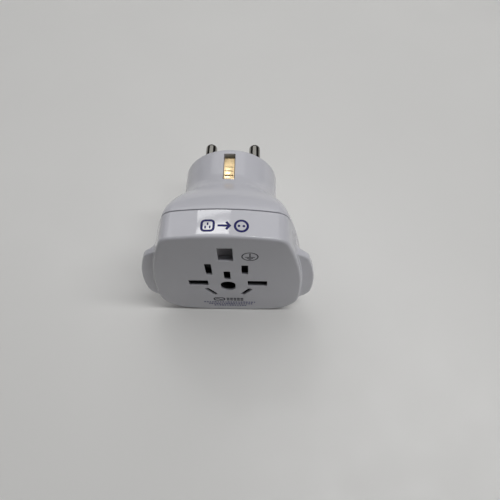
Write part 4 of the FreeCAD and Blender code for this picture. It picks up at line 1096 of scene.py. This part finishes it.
def screw_mesh(s):
    """A case screw with its head to the rear: a cross recess, a domed head and a threaded shank."""
    mesh = bmesh.new()
    head, rim, dome = s.screw_head, 1.3, 0.7
    root, crest = 1.16, 1.48
    profile = [(0.3, -11.0), (1.0, -10.4)]
    for i in range(10):
        y = -10.0 + i
        profile += [(root, y), (crest, y + 0.4), (crest, y + 0.5), (root, y + 0.9)]
    profile += [(1.4, 0.0), (head, 0.0), (head, rim)]
    profile += [(head - dome * (1 - math.cos(t)), rim + dome * math.sin(t)) for t in quarter(5)[1:]]
    lathe(mesh, 0.0, 0.0, profile, 48)
    arms, arm = [], [(-1.45, 0.32), (-0.32, 0.32), (-0.32, 1.45)]
    for _ in range(4):
        arms += arm
        arm = [(z, -x) for x, z in arm]
    cross = bmesh.new()
    cap(cross, *stack(cross, [([(x * share, z * share) for x, z in arms], y)
                              for share, y in ((0.45, 0.7), (1.06, 2.2))]))
    return combined(mesh, "DIFFERENCE", cross)


def spring_mesh(s, turns):
    """The coil under the shutter, between its seats."""
    low, high = box_mm("shutter_spring")
    seed = bmesh.new()
    seed.verts.new((0.0, 0.0, 0.0))
    wire = s.spring_wire
    mesh = grown(seed, spring_tree(), radius=(high.x - low.x - wire) / 2,
                 height=high.z - low.z - wire - 0.06, turns=turns, wire=wire / 2, material=material("steel"))
    middle = (0.0, (low.y + high.y) / 2, low.z + wire / 2 + 0.03)
    bmesh.ops.translate(mesh, vec=middle, verts=mesh.verts)
    return outward(mesh)


# Operators


class AdapterPiece:
    """What the operators share."""

    bl_options = {"REGISTER", "UNDO"}

    def sizes(self, context):
        return Millimetres(context.scene.adapter_shells)

    def fittings(self, context):
        return Millimetres(context.scene.adapter_fittings)


class ADAPTER_OT_front_shell(AdapterPiece, bpy.types.Operator):
    """Build the front shell: the face with its openings, the band and the finger grips"""

    bl_idname = "adapter.front_shell"
    bl_label = "Front shell"

    def execute(self, context):
        s = self.sizes(context)
        mesh = front_shell_mesh(s)
        join(mesh, flank_ribs(s, context.scene.adapter_fittings.flank_ribs))
        finish("front_housing", mesh, "shell", replaces=["front_shell"])
        return {"FINISHED"}


class ADAPTER_OT_rear_shell(AdapterPiece, bpy.types.Operator):
    """Build the rear shell: the bell, the barrel and what is cut into them"""

    bl_idname = "adapter.rear_shell"
    bl_label = "Rear shell"

    def execute(self, context):
        s = self.sizes(context)
        whole = combined(rear_cup(s), "UNION", rear_inside(s))
        mesh = combined(whole, "DIFFERENCE", rear_cutters(s))
        finish("rear_housing", mesh, "shell", replaces=["rear_shell"])
        return {"FINISHED"}


class ADAPTER_OT_pins(AdapterPiece, bpy.types.Operator):
    """Build the two round pins"""

    bl_idname = "adapter.pins"
    bl_label = "Pins"

    def execute(self, context):
        s = self.fittings(context)
        for node, x in (("live_pin", PIN_X), ("neutral_pin", -PIN_X)):
            finish(node + "_plated", pin_mesh(s, x), "nickel", replaces=[node])
        return {"FINISHED"}


class ADAPTER_OT_earth_clips(AdapterPiece, bpy.types.Operator):
    """Build the two earth clips with their ridges"""

    bl_idname = "adapter.earth_clips"
    bl_label = "Earth clips"

    def execute(self, context):
        s = self.sizes(context)
        s.clip_half_width = self.fittings(context).clip_half_width
        s.clip_ridge = self.fittings(context).clip_ridge
        ridges = context.scene.adapter_fittings.clip_ridges
        for node, side in (("earth_clip_top", 1), ("earth_clip_bottom", -1)):
            finish(node + "_strip", clip_mesh(s, side, ridges), "clip_brass",
                   replaces=[node])
        return {"FINISHED"}


class ADAPTER_OT_case_screws(AdapterPiece, bpy.types.Operator):
    """Set the two case screws in their wells"""

    bl_idname = "adapter.case_screws"
    bl_label = "Case screws"

    def execute(self, context):
        pattern = scratch(screw_mesh(self.fittings(context)), "case_screw_pattern")
        points = bmesh.new()
        ring(points, [(-SCREW_X, SCREW_Z), (SCREW_X, SCREW_Z)], SCREW_SEAT - self.sizes(context).body_length)
        mesh = grown(points, set_out_tree(), fitting=pattern, seed=4, material=material("steel"))
        bpy.data.objects.remove(pattern)
        finish("case_screw_pair", mesh, "steel", replaces=["case_screws"])
        return {"FINISHED"}


class ADAPTER_OT_spring(AdapterPiece, bpy.types.Operator):
    """Wind the return spring"""

    bl_idname = "adapter.spring"
    bl_label = "Return spring"

    def execute(self, context):
        mesh = spring_mesh(self.fittings(context), context.scene.adapter_fittings.spring_turns)
        coil = finish("shutter_coil", mesh, "steel", replaces=["shutter_spring"])
        low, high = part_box("shutter_spring")
        travel = max(row["range_m"][1] for row in frame["joints"] if row["name"] == "shutter_slide")
        low.z
        1 - travel / (high.z - low.z)
        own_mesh(coil)
        return {"FINISHED"}


class ADAPTER_OT_signs(AdapterPiece, bpy.types.Operator):
    """Print the signs on the band and on the face"""

    bl_idname = "adapter.signs"
    bl_label = "Printed signs"

    def execute(self, context):
        s = self.sizes(context)
        fittings = self.fittings(context)
        finish("band_signs", outward(band_signs(s, fittings.sign_line)), "ink")
        finish("face_signs", outward(face_signs(s)), "ink_grey")
        finish("fine_print", fine_print(s, fittings.fine_print), "faint_ink")
        return {"FINISHED"}


class ADAPTER_OT_inner_finishes(AdapterPiece, bpy.types.Operator):
    """Give each inner part that keeps its shape the finish of its slot"""

    bl_idname = "adapter.inner_finishes"
    bl_label = "Inner finishes"

    def execute(self, context):
        slots = {row["node"]: row["material_slot"] for row in frame["record"]["subparts"]}
        for node, obj in frame["nodes"].items():
            if not obj.material_slots:
                raise RuntimeError(f"{node} has no material slot")
            for entry in obj.material_slots:
                entry.material = material(slots[node])
        return {"FINISHED"}


def area_lamp(name, size, spot, aim, radiance=None, power=None):
    """A lamp with its two sizes and its place in metres, given by its brightness or its power."""
    light = bpy.data.lights.new(name, "AREA")
    light.shape = "RECTANGLE"
    light.size, light.size_y = size
    light.energy = power if power is not None else radiance * math.pi * size[0] * size[1]
    lamp = placed(name, light)
    lamp.location = spot
    lamp.rotation_euler = (Vector(spot) - Vector(aim)).to_track_quat("Z", "Y").to_euler()
    return lamp


# The photo's camera: its place in millimetres, and the directions to the right and down in the picture
CAMERA_SPOT = (8.252, -105.712, 129.295)
CAMERA_RIGHT = (0.99991, 0.01226, 0.00536)
CAMERA_DOWN = (0.01331, -0.87276, -0.48797)
SENSOR, LENS = 36.0, 28.08


class ADAPTER_OT_stage(AdapterPiece, bpy.types.Operator):
    """Set out the table, the lights, the room and the camera"""

    bl_idname = "adapter.stage"
    bl_label = "Stage"

    def execute(self, context):
        scene = context.scene
        glow = scene.adapter_light
        low = scene.adapter_shells.face_bottom
        mesh = bmesh.new()
        bmesh.ops.create_grid(mesh, x_segments=8, y_segments=8, size=2.5)
        bmesh.ops.translate(mesh, vec=(0.0, 0.0, low), verts=mesh.verts)
        table = placed("table", mesh_data(mesh, "table"))
        table.data.materials.append(material("table"))

        front = area_lamp("front", (0.06, 0.06), (0.2, -0.2, 0.08), (0.045, -0.046, -0.01), power=glow.front)
        front.data.spread = math.radians(36.0)
        area_lamp("fill", (0.6, 0.6), (-0.75, 0.25, 0.5), (0.0, 0.0, 0.0), radiance=glow.fill)
        panes = (("key", 0.05, 0.95, -0.15, -0.04, 1.0, glow.key),
                 ("near_pane", -0.362, -0.025, 0.543, 0.599, 1.0, glow.window),
                 ("dim_pane", -0.362, -0.020, 0.599, 0.633, 1.0, glow.pane),
                 ("far_pane", -0.366, -0.012, 0.633, 0.680, 1.0, glow.far_window),
                 ("ceiling", -1.2, 0.7, 0.05, 1.5, 1.04, glow.ceiling))
        for name, x0, x1, y0, y1, z, bright in panes:
            spot = ((x0 + x1) / 2, (y0 + y1) / 2, z)
            area_lamp(name, (x1 - x0, y1 - y0), spot, (spot[0], spot[1], 0.0), radiance=bright)

        world = bpy.data.worlds.new("room")
        world.use_nodes = True
        world.node_tree.nodes.clear()
        room = Tree(world.node_tree)
        sky = room.add("ShaderNodeBackground", {"Color": (1.0, 1.0, 1.0, 1.0), "Strength": glow.room})
        room.add("ShaderNodeOutputWorld", {"Surface": sky})
        scene.world = world

        view = bpy.data.cameras.new("photo_view")
        view.sensor_width = SENSOR
        view.lens = LENS
        view.clip_start = 0.01
        camera = placed("photo_view", view)
        right, down = Vector(CAMERA_RIGHT), Vector(CAMERA_DOWN)
        ahead = right.cross(down).normalized()
        turn = Matrix((right, -down, -ahead)).transposed().to_4x4()
        camera.matrix_world = Matrix.Translation(Vector(CAMERA_SPOT) * MM) @ turn
        scene.camera = camera
        scene.view_settings.view_transform = "Standard"
        return {"FINISHED"}


OPERATORS = (ADAPTER_OT_front_shell, ADAPTER_OT_rear_shell, ADAPTER_OT_pins, ADAPTER_OT_earth_clips,
             ADAPTER_OT_case_screws, ADAPTER_OT_spring, ADAPTER_OT_signs, ADAPTER_OT_inner_finishes,
             ADAPTER_OT_stage)


class ADAPTER_PT_build(bpy.types.Panel):
    """The steps that build the adapter"""

    bl_idname = "ADAPTER_PT_build"
    bl_label = "Travel adapter"
    bl_space_type = "VIEW_3D"
    bl_region_type = "UI"
    bl_category = "Adapter"

    def draw(self, context):
        for kind in OPERATORS:
            self.layout.operator(kind.bl_idname)
        for name, kind in GROUPS.items():
            self.layout.label(text=name.replace("adapter_", "").capitalize())
            for entry in kind.__annotations__:
                self.layout.prop(getattr(context.scene, name), entry)


GROUPS = {"adapter_shells": AdapterShellSizes, "adapter_fittings": AdapterFittingSizes,
          "adapter_colours": AdapterColours, "adapter_light": AdapterLight}


def register():
    for kind in (*GROUPS.values(), *OPERATORS, ADAPTER_PT_build):
        bpy.utils.register_class(kind)
    for name, kind in GROUPS.items():
        setattr(bpy.types.Scene, name, PointerProperty(type=kind))


def unregister():
    for name in GROUPS:
        delattr(bpy.types.Scene, name)
    for kind in reversed((*GROUPS.values(), *OPERATORS, ADAPTER_PT_build)):
        bpy.utils.unregister_class(kind)


def corners(bounds):
    return [[float(value) for value in corner] for corner in bounds]


def main():
    register()
    bpy.ops.adapter.front_shell()
    bpy.ops.adapter.rear_shell()
    bpy.ops.adapter.pins()
    bpy.ops.adapter.earth_clips()
    bpy.ops.adapter.case_screws()
    bpy.ops.adapter.spring()
    bpy.ops.adapter.signs()
    bpy.ops.adapter.inner_finishes()
    bpy.ops.adapter.stage()


if __name__ == "__main__":
    main()
